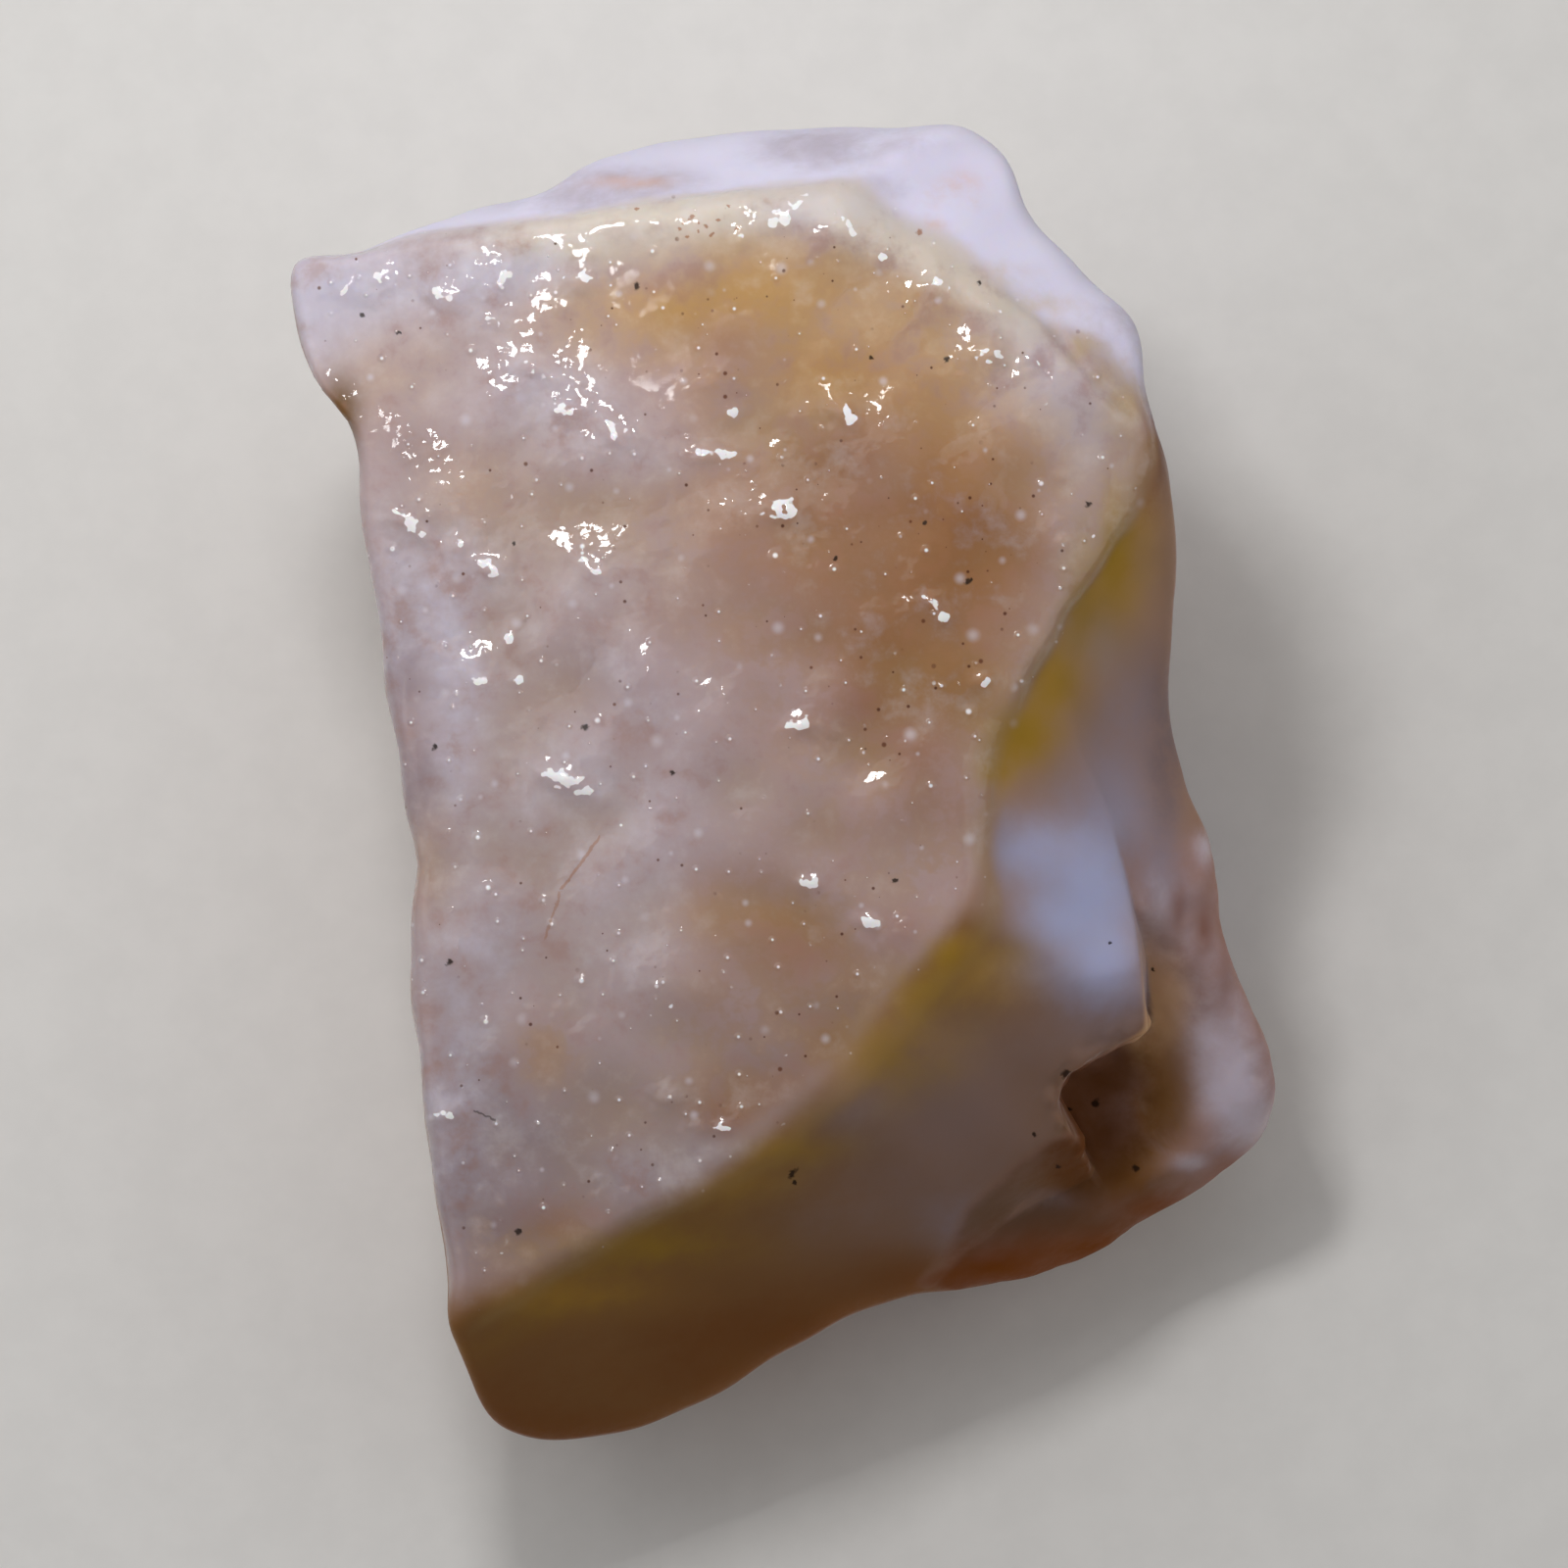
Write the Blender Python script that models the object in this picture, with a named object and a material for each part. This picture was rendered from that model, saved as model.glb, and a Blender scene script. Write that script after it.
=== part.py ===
"""Rough opal: one broken lump of milky common opal, lying on a flat break with its broad rind face up.

The form is worked out in the frame of the broad face, in millimetres: x to the right, y to the top and z outwards
from the face. It is the solid left between facets, hollows and the wall below the outermost edge. A sphere of points
is drawn in along its rays until it meets that solid, and is thinned to the triangles that its shape needs. Then the
stone is turned to its resting position and cut flat underneath.
"""
import math

import bmesh
import bpy
import numpy as np
from mathutils import Matrix, Vector, noise

MM = 0.001
PART_NAME = "rough_opal"

# Colour, roughness and metallic of the pale, wet-looking stone.
OPAL_COLOUR = (0.66, 0.52, 0.43, 1.0)
OPAL_ROUGHNESS = 0.28
OPAL_METALLIC = 0.0

# The outermost edge of the stone seen square on to the broad face: x, y and the depth where the wall starts to lean in.
OUTLINE = (
    (-8.12, 8.80, 2.9), (-7.00, 9.00, 2.9), (-5.20, 9.65, 2.1), (-4.10, 9.95, 1.8),
    (-3.00, 10.50, 1.0), (-1.40, 10.90, 0.7), (1.00, 11.00, 0.9), (2.85, 11.02, 1.2),
    (3.60, 10.62, 1.2), (4.05, 9.60, 1.6), (4.95, 8.60, 1.5), (5.80, 7.70, 1.6),
    (6.10, 6.30, 1.2), (6.55, 4.20, 0.5), (6.45, 1.80, 0.3), (6.70, 0.05, 0.0),
    (7.15, -0.95, -0.3), (7.30, -2.40, -0.4), (8.00, -4.10, -0.8), (8.30, -5.30, -1.0),
    (7.95, -6.15, -1.4), (6.50, -7.10, -1.8), (5.10, -7.95, -1.8), (3.00, -8.50, -1.6),
    (2.00, -8.60, -1.2), (0.90, -9.00, -0.8), (-1.90, -10.60, -1.0), (-3.60, -11.00, -0.6),
    (-4.85, -10.60, 0.2), (-5.50, -9.20, 1.6), (-5.60, -8.20, 2.4), (-6.05, -5.00, 3.2),
    (-6.25, -2.50, 3.4), (-6.15, -1.30, 3.4), (-6.40, 0.00, 3.4), (-7.00, 4.00, 3.2),
    (-7.28, 6.00, 3.0), (-7.90, 6.85, 2.9), (-8.30, 8.20, 2.8),
)
OUTLINE_CENTRE = (0.2, 0.4)
OUTLINE_STEPS = 12
OUTLINE_EDGE = 0.35
WALL_LEAN = 0.28
WALL_TURN = 1.0

# The broad face: its height over the centre, its lean and how much it bulges along x and y.
FACE_TOP = 4.75
FACE_LEAN = (-0.02, 0.03)
FACE_BULGE = (0.022, 0.011)

# Facets that leave the broad face along an edge: the two ends of the edge, how far it strays outwards at even steps
# between them, slope in degrees, bulge down the slope, twist of the slope along the edge, and softness of the edge.
TOP_LEFT = ((-8.20, 8.72), (0.16, 9.95), (0, -0.12, -0.05, 0.05, 0), 62, 0.0, 0.0, 0.2)
TOP_RIGHT = ((0.16, 9.95), (5.94, 5.95), (0, 0.2, 0.36, 0.38, 0), 38, -0.01, -0.01, 0.15)
RIGHT_HOLLOW = ((5.94, 5.95), (3.10, 0.00), (0, 0.25, 0.1, 0.1, 0), 57, -0.09, -0.045, 0.2)
PALE_NOSE = ((3.10, 0.60), (3.20, -2.60), (0, 0), 41, 0.0, 0.0, 0.3)
LOWER_RIGHT = ((3.15, -2.30), (0.30, -5.75), (0, 0.05, 0.15, 0), 38, 0.0, 0.0, 0.3)
LOWER_LEFT = ((-0.20, -6.25), (-5.50, -8.70), (0, 0), 52, 0.0, 0.0, 0.7)
STRAY_FADE = 1.5
NOSE_VALLEY = 0.4

# Facets set by a point: the point, heading in degrees from +x, slope in degrees from level, bulge down the slope and
# across it, and softness of the edge.
STEP_WALLS = (
    ((5.98, -2.90, 2.1), 6, 86, 0.0, 0.1, 0.12),
    ((3.30, -7.35, 1.2), -52, 66, 0.0, -0.03, 0.25),
)
LEDGE_OUTER = ((5.70, -1.20, 2.8), -15, 46, -0.06, 0.0, 0.3)
LEDGE_FACETS = (
    ((7.20, -5.10, 0.45), -60, 31, -0.06, -0.03, 0.2),
    ((6.00, -6.90, -0.3), -60, 58, 0.03, -0.01, 0.3),
)
STEP_EDGE = 0.12
FACE_EDGE = 0.25
# The bay that bites into the step walls, each part the sweep of an upright post: its two places, radius and softness.
STEP_BAY = (
    ((5.15, -5.25, 0.0), (6.50, -4.47, 0.0), 0.55, 0.12),
    ((5.30, -5.30, 0.0), (5.75, -6.30, 0.0), 0.60, 0.12),
)
BACK_FACETS = (
    ((-5.4, 2.0, -3.2), 178, 122, 0.0, 0.0, 0.3),
    ((0.0, 8.8, -3.5), 97, 124, 0.0, 0.0, 0.3),
    ((5.0, 3.0, -3.2), 12, 120, 0.0, 0.0, 0.3),
    ((6.4, -6.1, -3.0), -32, 124, 0.0, 0.0, 0.3),
    ((-1.5, -9.5, -3.0), -108, 126, 0.0, 0.0, 0.3),
    ((-5.2, -6.5, -2.2), 204, 116, 0.0, 0.0, 0.3),
    ((4.8, 8.2, -2.2), 48, 120, 0.0, 0.0, 0.3),
)

# Hollows, each the sweep of a ball from one point to another: the two points, the radius and softness of the edge.
LEDGE_HOLLOWS = (((5.75, -5.05, 3.10), (5.70, -5.80, 2.75), 2.95, 0.30),)
CROWN_HOLLOWS = (((4.15, 8.35, 4.3), (5.55, 6.95, 4.6), 0.45, 0.15),)
BACK_HOLLOWS = (
    ((-10.6, 5.6, -3.8), (-10.2, 3.0, -5.0), 5.0, 0.2),
    ((1.5, 14.6, -4.2), (4.5, 13.8, -4.4), 6.2, 0.2),
    ((9.9, 1.0, -5.6), (9.6, -1.5, -5.6), 5.0, 0.2),
)

# Lumps of the rind: height, width and the seed offset of each size of lump.
LUMPS = (
    (0.16, 2.6, 3.1),
    (0.09, 1.2, 7.7),
)
RIND_FADE = 0.9

# How the stone lies: the tilt of its resting break from the broad face, and the depth of the break.
REST_TILT = 12.0
REST_DEPTH = 4.8

RAY_CENTRE = (1.2, 0.0, -2.0)
RAY_REACH = 16.0
RAY_HALVINGS = 18
GRID_CUTS = 111
TRIANGLES = 9600
WELD = 0.00003


def smooth_max(a, b, soft):
    blend = np.maximum(soft - np.abs(a - b), 0.0) / soft
    return np.maximum(a, b) + blend * blend * soft / 4


def smooth_min(a, b, soft):
    return -smooth_max(-a, -b, soft)


def broad_face_height(x, y):
    lean = FACE_LEAN[0] * x + FACE_LEAN[1] * y
    bulge = FACE_BULGE[0] * x * x + FACE_BULGE[1] * y * y
    return FACE_TOP - lean - bulge / 2


def facing(heading, slope):
    heading = math.radians(heading)
    slope = math.radians(slope)
    level = math.sin(slope)
    return np.array((math.cos(heading) * level, math.sin(heading) * level, math.cos(slope)))


def facet_gap(points, place, heading, slope, bulge_down, bulge_across):
    """Distance outside a gently curved facet that passes through a place."""
    normal = facing(heading, slope)
    down = facing(heading, slope + 90)
    offset = points - np.array(place)
    bend = bulge_down * (offset @ down) ** 2 + bulge_across * (offset @ np.cross(normal, down)) ** 2
    return offset @ normal + bend / 2


def edge_facet_gap(points, first, last, strays, slope, bulge_down, twist):
    """Distance outside a facet that leaves the broad face along the edge from first to last."""
    first = np.array(first)
    last = np.array(last)
    run = last - first
    length = np.linalg.norm(run)
    run = run / length
    outward = np.array((-run[1], run[0]))
    if outward @ (first + last) < 0:
        outward = -outward
    offset = points[:, :2] - first
    along = offset @ run
    away = offset @ outward
    stray = np.interp(along / length, np.linspace(0, 1, len(strays)), strays)
    away = away - stray * np.exp(-np.abs(away) / STRAY_FADE)
    level = points[:, 2] - broad_face_height(*((first + last) / 2))
    slope = math.radians(slope)
    down = away * math.cos(slope) - level * math.sin(slope)
    bend = bulge_down * down**2 + twist * (along - length / 2) ** 2 * np.maximum(down, 0.0)
    return away * math.sin(slope) + level * math.cos(slope) + bend / 2


def hollow_gap(points, first, last, radius):
    """How deep points lie in the sweep of a ball from first to last."""
    first = np.array(first)
    run = np.array(last) - first
    along = np.clip((points - first) @ run / (run @ run), 0.0, 1.0)
    return radius - np.linalg.norm(points - first - along[:, None] * run, axis=1)


def outline_curve():
    """A smooth curve through the outline: its angle, radius and depth, all seen from its centre."""
    knots = np.array(OUTLINE)
    ahead = np.roll(knots, -1, axis=0)
    run = np.linalg.norm(ahead - knots, axis=1)
    tangents = (ahead - np.roll(knots, 1, axis=0)) / (run + np.roll(run, 1))[:, None]
    curve = []
    for start, knot in enumerate(knots):
        end = (start + 1) % len(knots)
        for t in np.arange(OUTLINE_STEPS) / OUTLINE_STEPS:
            rise = 3 * t**2 - 2 * t**3
            leave = (t**3 - 2 * t**2 + t) * run[start] * tangents[start]
            arrive = (t**3 - t**2) * run[start] * tangents[end]
            curve.append(knot + rise * (knots[end] - knot) + leave + arrive)
    curve = np.array(curve)
    seen = curve[:, :2] - np.array(OUTLINE_CENTRE)
    angles = np.arctan2(seen[:, 1], seen[:, 0])
    order = np.argsort(angles)
    return angles[order], np.linalg.norm(seen, axis=1)[order], curve[order, 2]


def wall_gap(points, curve):
    """Distance outside the outline, which leans in below its outermost depth."""
    angles, radii, depths = curve
    x = points[:, 0] - OUTLINE_CENTRE[0]
    y = points[:, 1] - OUTLINE_CENTRE[1]
    angle = np.arctan2(y, x)
    radius = np.interp(angle, angles, radii, period=2 * math.pi)
    depth = np.interp(angle, angles, depths, period=2 * math.pi)
    under = smooth_max(depth - points[:, 2], np.zeros(len(points)), WALL_TURN)
    return (np.hypot(x, y) - radius + WALL_LEAN * under) / math.hypot(1, WALL_LEAN)


def with_facets(gap, points, facets, measure):
    for *shape, soft in facets:
        own = measure(points, *shape)
        gap = own if gap is None else smooth_max(gap, own, soft)
    return gap


def stone_gap(points, curve):
    """How far points lie outside the stone; negative inside it."""
    face = points[:, 2] - broad_face_height(points[:, 0], points[:, 1])
    crown = with_facets(face, points, (TOP_LEFT, TOP_RIGHT), edge_facet_gap)
    right = edge_facet_gap(points, *RIGHT_HOLLOW[:-1])
    walls = with_facets(None, points, STEP_WALLS, facet_gap)
    walls = with_facets(walls, points * np.array((1, 1, 0)), STEP_BAY, hollow_gap)
    nose = smooth_max(edge_facet_gap(points, *PALE_NOSE[:-1]), walls, STEP_EDGE)
    valley = smooth_min(right, nose, NOSE_VALLEY)
    front = with_facets(valley, points, (LOWER_RIGHT, LOWER_LEFT), edge_facet_gap)
    ledge = with_facets(valley, points, (LOWER_LEFT,), edge_facet_gap)
    ledge = with_facets(ledge, points, (LEDGE_OUTER,) + LEDGE_FACETS, facet_gap)
    ledge = with_facets(ledge, points, LEDGE_HOLLOWS, hollow_gap)
    gap = smooth_max(crown, np.minimum(smooth_max(front, walls, STEP_EDGE), ledge), FACE_EDGE)
    gap = with_facets(gap, points, CROWN_HOLLOWS, hollow_gap)
    gap = smooth_max(gap, wall_gap(points, curve), OUTLINE_EDGE)
    gap = with_facets(gap, points, BACK_FACETS, facet_gap)
    return with_facets(gap, points, BACK_HOLLOWS, hollow_gap)


def drawn_in(directions):
    """Where rays from the centre leave the stone."""
    curve = outline_curve()
    centre = np.array(RAY_CENTRE)
    inside = np.zeros(len(directions))
    outside = np.full(len(directions), RAY_REACH)
    for _ in range(RAY_HALVINGS):
        middle = (inside + outside) / 2
        out = stone_gap(centre + middle[:, None] * directions, curve) > 0
        outside = np.where(out, middle, outside)
        inside = np.where(out, inside, middle)
    return centre + inside[:, None] * directions


def lumpy(points):
    """Raises the rind's lumps on the broad face, fading out towards its edges."""
    depth = points[:, 2] - broad_face_height(points[:, 0], points[:, 1])
    cover = np.clip(1 + depth / RIND_FADE, 0.0, 1.0)
    raised = points.copy()
    for height, width, seed in LUMPS:
        for index in np.nonzero(cover > 0)[0]:
            spot = Vector(points[index]) / width + Vector((seed, seed, seed))
            raised[index, 2] += cover[index] * height * noise.noise(spot)
    return raised


def ball_directions(body):
    """Even directions from a cube of points, one for each vertex."""
    corners = np.array([vertex.co[:] for vertex in body.verts])
    spread = np.tan(corners * math.pi / 4)
    return spread / np.linalg.norm(spread, axis=1)[:, None]


def whole_stone():
    """The stone in the frame of its broad face, in millimetres, before it is cut flat underneath."""
    body = bmesh.new()
    bmesh.ops.create_cube(body, size=2.0)
    bmesh.ops.subdivide_edges(body, edges=body.edges[:], cuts=GRID_CUTS, use_grid_fill=True)
    for vertex, place in zip(body.verts, lumpy(drawn_in(ball_directions(body)))):
        vertex.co = place
    bmesh.ops.triangulate(body, faces=body.faces[:])
    mesh = bpy.data.meshes.new("whole_stone")
    body.to_mesh(mesh)
    body.free()
    return mesh


def thinned(mesh):
    """The same surface with large triangles where it is plain and small ones where it turns."""
    carrier = bpy.data.objects.new("whole_stone", mesh)
    bpy.context.scene.collection.objects.link(carrier)
    thin = carrier.modifiers.new("thin", "DECIMATE")
    thin.ratio = TRIANGLES / len(mesh.polygons)
    thin.use_collapse_triangulate = True
    graph = bpy.context.evaluated_depsgraph_get()
    result = bpy.data.meshes.new_from_object(carrier.evaluated_get(graph))
    bpy.data.objects.remove(carrier, do_unlink=True)
    bpy.data.meshes.remove(mesh)
    return result


def resting_stone(mesh):
    """Turns the stone to how it lies, cuts the flat break and stands it on z = 0 about the middle."""
    body = bmesh.new()
    body.from_mesh(mesh)
    tilt = Matrix.Rotation(math.radians(REST_TILT), 4, "X")
    bmesh.ops.rotate(body, verts=body.verts[:], cent=(0, 0, 0), matrix=tilt)
    cut = bmesh.ops.bisect_plane(
        body,
        geom=body.verts[:] + body.edges[:] + body.faces[:],
        plane_co=(0, 0, -REST_DEPTH),
        plane_no=(0, 0, -1),
        clear_outer=True,
    )
    rim = [item for item in cut["geom_cut"] if isinstance(item, bmesh.types.BMEdge)]
    bmesh.ops.contextual_create(body, geom=rim)
    low = [min(vertex.co[axis] for vertex in body.verts) for axis in range(3)]
    high = [max(vertex.co[axis] for vertex in body.verts) for axis in range(3)]
    shift = Vector((-(low[0] + high[0]) / 2, -(low[1] + high[1]) / 2, REST_DEPTH))
    bmesh.ops.translate(body, verts=body.verts[:], vec=shift)
    bmesh.ops.scale(body, verts=body.verts[:], vec=(MM, MM, MM))
    bmesh.ops.remove_doubles(body, verts=body.verts[:], dist=WELD)
    bmesh.ops.triangulate(body, faces=body.faces[:])
    bmesh.ops.recalc_face_normals(body, faces=body.faces[:])
    body.to_mesh(mesh)
    body.free()
    mesh.name = PART_NAME
    return mesh


def opal_material():
    material = bpy.data.materials.new("opal")
    material.use_nodes = True
    surface = material.node_tree.nodes["Principled BSDF"]
    surface.inputs["Base Color"].default_value = OPAL_COLOUR
    surface.inputs["Roughness"].default_value = OPAL_ROUGHNESS
    surface.inputs["Metallic"].default_value = OPAL_METALLIC
    material.diffuse_color = OPAL_COLOUR
    return material


def main():
    for item in list(bpy.data.objects):
        bpy.data.objects.remove(item, do_unlink=True)
    collection = bpy.data.collections.new(PART_NAME)
    bpy.context.scene.collection.children.link(collection)
    mesh = resting_stone(thinned(whole_stone()))
    mesh.materials.append(opal_material())
    stone = bpy.data.objects.new(PART_NAME, mesh)
    collection.objects.link(stone)


main()
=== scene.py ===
"""Rough opal on a pale floor under soft studio light.

The stone is worked out again at a fine grain in the frame of its broad face, in millimetres: x to the
right, y to the top and z outwards from the face. Soft patches of tint are laid on it by place and blended
point by point, among them painted shade on the sides away from the light and painted glow at the thin
edges, and the material adds finer mottling, beads with painted glints, painted glints on the welts,
specks and wet bumps.
"""
import math

import bmesh
import bpy
import numpy as np
from mathutils import Matrix, Vector, noise


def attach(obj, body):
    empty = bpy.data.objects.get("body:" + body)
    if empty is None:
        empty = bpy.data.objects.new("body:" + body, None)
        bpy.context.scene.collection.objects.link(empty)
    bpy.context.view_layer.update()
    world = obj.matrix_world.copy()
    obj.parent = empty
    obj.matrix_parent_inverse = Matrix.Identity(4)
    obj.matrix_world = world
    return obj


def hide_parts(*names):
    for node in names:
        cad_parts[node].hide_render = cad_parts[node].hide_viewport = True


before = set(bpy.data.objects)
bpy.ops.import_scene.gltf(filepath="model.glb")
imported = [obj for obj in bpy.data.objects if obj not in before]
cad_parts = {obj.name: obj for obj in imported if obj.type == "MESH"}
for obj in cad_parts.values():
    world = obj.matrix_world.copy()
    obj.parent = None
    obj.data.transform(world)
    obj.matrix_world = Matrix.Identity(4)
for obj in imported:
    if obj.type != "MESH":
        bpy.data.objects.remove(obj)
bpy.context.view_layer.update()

MM = 0.001

# The outermost edge of the stone seen square on to the broad face: x, y and the depth where the wall
# starts to lean in.
OUTLINE = (
    (-8.12, 8.8, 2.9), (-7.0, 9.0, 2.9), (-5.2, 9.65, 2.1), (-4.1, 9.95, 1.8),
    (-3.0, 10.5, 1), (-1.4, 10.9, 0.7), (1.0, 11.0, 0.9), (2.85, 11.02, 1.2),
    (3.6, 10.62, 1.2), (4.05, 9.6, 1.6), (4.95, 8.6, 1.5), (5.8, 7.7, 1.6),
    (6.1, 6.3, 1.2), (6.55, 4.2, 0.5), (6.45, 1.8, 0.3), (6.7, 0.05, 0),
    (7.15, -0.95, -0.3), (7.3, -2.4, -0.4), (8.0, -4.1, -0.8), (8.3, -5.3, -1),
    (7.95, -6.15, -1.4), (6.5, -7.1, -1.8), (5.1, -7.95, -1.8), (3.0, -8.5, -1.6),
    (2.0, -8.6, -1.2), (0.9, -9.0, -0.8), (-1.9, -10.6, -1), (-3.6, -11.0, -0.6),
    (-4.85, -10.6, 0.2), (-5.5, -9.2, 1.6), (-5.6, -8.2, 2.4), (-6.05, -5.0, 3.2),
    (-6.25, -2.5, 3.4), (-6.15, -1.3, 3.4), (-6.4, 0.0, 3.4), (-7.0, 4.0, 3.2),
    (-7.28, 6.0, 3), (-7.9, 6.85, 2.9), (-8.3, 8.2, 2.8),
)
OUTLINE_CENTRE = (0.2, 0.4)
OUTLINE_STEPS = 12
OUTLINE_EDGE = 0.35
WALL_LEAN = 0.28
WALL_TURN = 1.0

# The broad face: its height over the centre, its lean and how much it bulges along x and y.
FACE_TOP = 4.75
FACE_LEAN = (-0.02, 0.03)
FACE_BULGE = (0.022, 0.011)

# Facets that leave the broad face along an edge: the two ends of the edge, how far it strays outwards at
# even steps between them, slope in degrees, bulge down the slope, twist of the slope along the edge, and
# softness of the edge.
TOP_LEFT = ((-8.2, 8.72), (0.16, 9.95), (0, -0.12, -0.05, 0.05, 0), 62, 0, 0, 0.2)
TOP_RIGHT = ((0.16, 9.95), (5.94, 5.95), (0, 0.2, 0.36, 0.38, 0), 38, -0.01, -0.01, 0.15)
RIGHT_HOLLOW = ((5.94, 5.95), (3.1, 0.0), (0, 0.25, 0.1, 0.1, 0), 57, -0.09, -0.045, 0.2)
PALE_NOSE = ((3.1, 0.6), (3.2, -2.6), (0, 0), 41, 0, 0, 0.3)
LOWER_RIGHT = ((3.15, -2.3), (0.3, -5.75), (0, 0.05, 0.15, 0), 38, 0, 0, 0.3)
LOWER_LEFT = ((-0.2, -6.25), (-5.5, -8.7), (0, 0), 52, 0, 0, 0.7)
STRAY_FADE = 1.5
NOSE_VALLEY = 0.4

# Facets set by a point: the point, heading in degrees from +x, slope in degrees from level, bulge down the
# slope and across it, and softness of the edge.
STEP_WALLS = (
    ((5.98, -2.9, 2.1), 6, 86, 0, 0.1, 0.12),
    ((3.3, -7.35, 1.2), -52, 66, 0, -0.03, 0.25),
)
LEDGE_OUTER = ((5.7, -1.2, 2.8), -15, 46, -0.06, 0, 0.3)
LEDGE_FACETS = (
    ((7.2, -5.1, 0.45), -60, 31, -0.06, -0.03, 0.2),
    ((6.0, -6.9, -0.3), -60, 58, 0.03, -0.01, 0.3),
)
STEP_EDGE = 0.12
FACE_EDGE = 0.25
# The bay that bites into the step walls, each part the sweep of an upright post: its two places, radius
# and softness.
STEP_BAY = (
    ((5.15, -5.25, 0), (6.5, -4.47, 0), 0.55, 0.12),
    ((5.3, -5.3, 0), (5.75, -6.3, 0), 0.6, 0.12),
)
BACK_FACETS = (
    ((-5.4, 2, -3.2), 178, 122, 0, 0, 0.3),
    ((0, 8.8, -3.5), 97, 124, 0, 0, 0.3),
    ((5, 3, -3.2), 12, 120, 0, 0, 0.3),
    ((6.4, -6.1, -3), -32, 124, 0, 0, 0.3),
    ((-1.5, -9.5, -3), -108, 126, 0, 0, 0.3),
    ((-5.2, -6.5, -2.2), 204, 116, 0, 0, 0.3),
    ((4.8, 8.2, -2.2), 48, 120, 0, 0, 0.3),
)

# Hollows, each the sweep of a ball from one point to another: the two points, the radius and softness of
# the edge.
LEDGE_HOLLOWS = (((5.75, -5.05, 3.1), (5.7, -5.8, 2.75), 2.95, 0.3),)
CROWN_HOLLOWS = (((4.15, 8.35, 4.3), (5.55, 6.95, 4.6), 0.45, 0.15),)
BACK_HOLLOWS = (
    ((-10.6, 5.6, -3.8), (-10.2, 3, -5), 5, 0.2),
    ((1.5, 14.6, -4.2), (4.5, 13.8, -4.4), 6.2, 0.2),
    ((9.9, 1, -5.6), (9.6, -1.5, -5.6), 5, 0.2),
)

# Lumps of the rind: height, width and the seed offset of each size of lump.
LUMPS = ((0.16, 2.6, 3.1), (0.09, 1.2, 7.7))
RIND_FADE = 0.9

# How the stone lies: the tilt of its resting break from the broad face, and the depth of the break.
REST_TILT = 12.0
REST_DEPTH = 4.8

RAY_CENTRE = (1.2, 0.0, -2.0)
RAY_REACH = 16.0
RAY_HALVINGS = 18
FINE_CUTS = 199
FINE_TRIANGLES = 190000

# Slow sways that keep the edges of the facets from being straight: wave vector, shift and phase.
SWAYS = (
    ((1.9, 0.9, 0.4), (0.005, 0.02, 0.01), 0.3),
    ((-0.8, 2.3, 0.9), (0.02, 0.005, 0.01), 1.9),
    ((3.4, -2.2, 1.5), (0.01, 0.015, 0.01), 4.1),
    ((2.3, 3.9, -1.1), (0.015, -0.01, 0.01), 2.6),
)
# Fine relief of the rind: height, width and seed offset of each size of bump.
RIND_RELIEF = ((0.05, 1.5, 5.3), (0.012, 0.55, 9.1))
# Wet ripples that catch the light, in clusters.
RIPPLE_RELIEF = ((0.03, 0.5, 2.2), (0.026, 0.3, 6.9))
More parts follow.
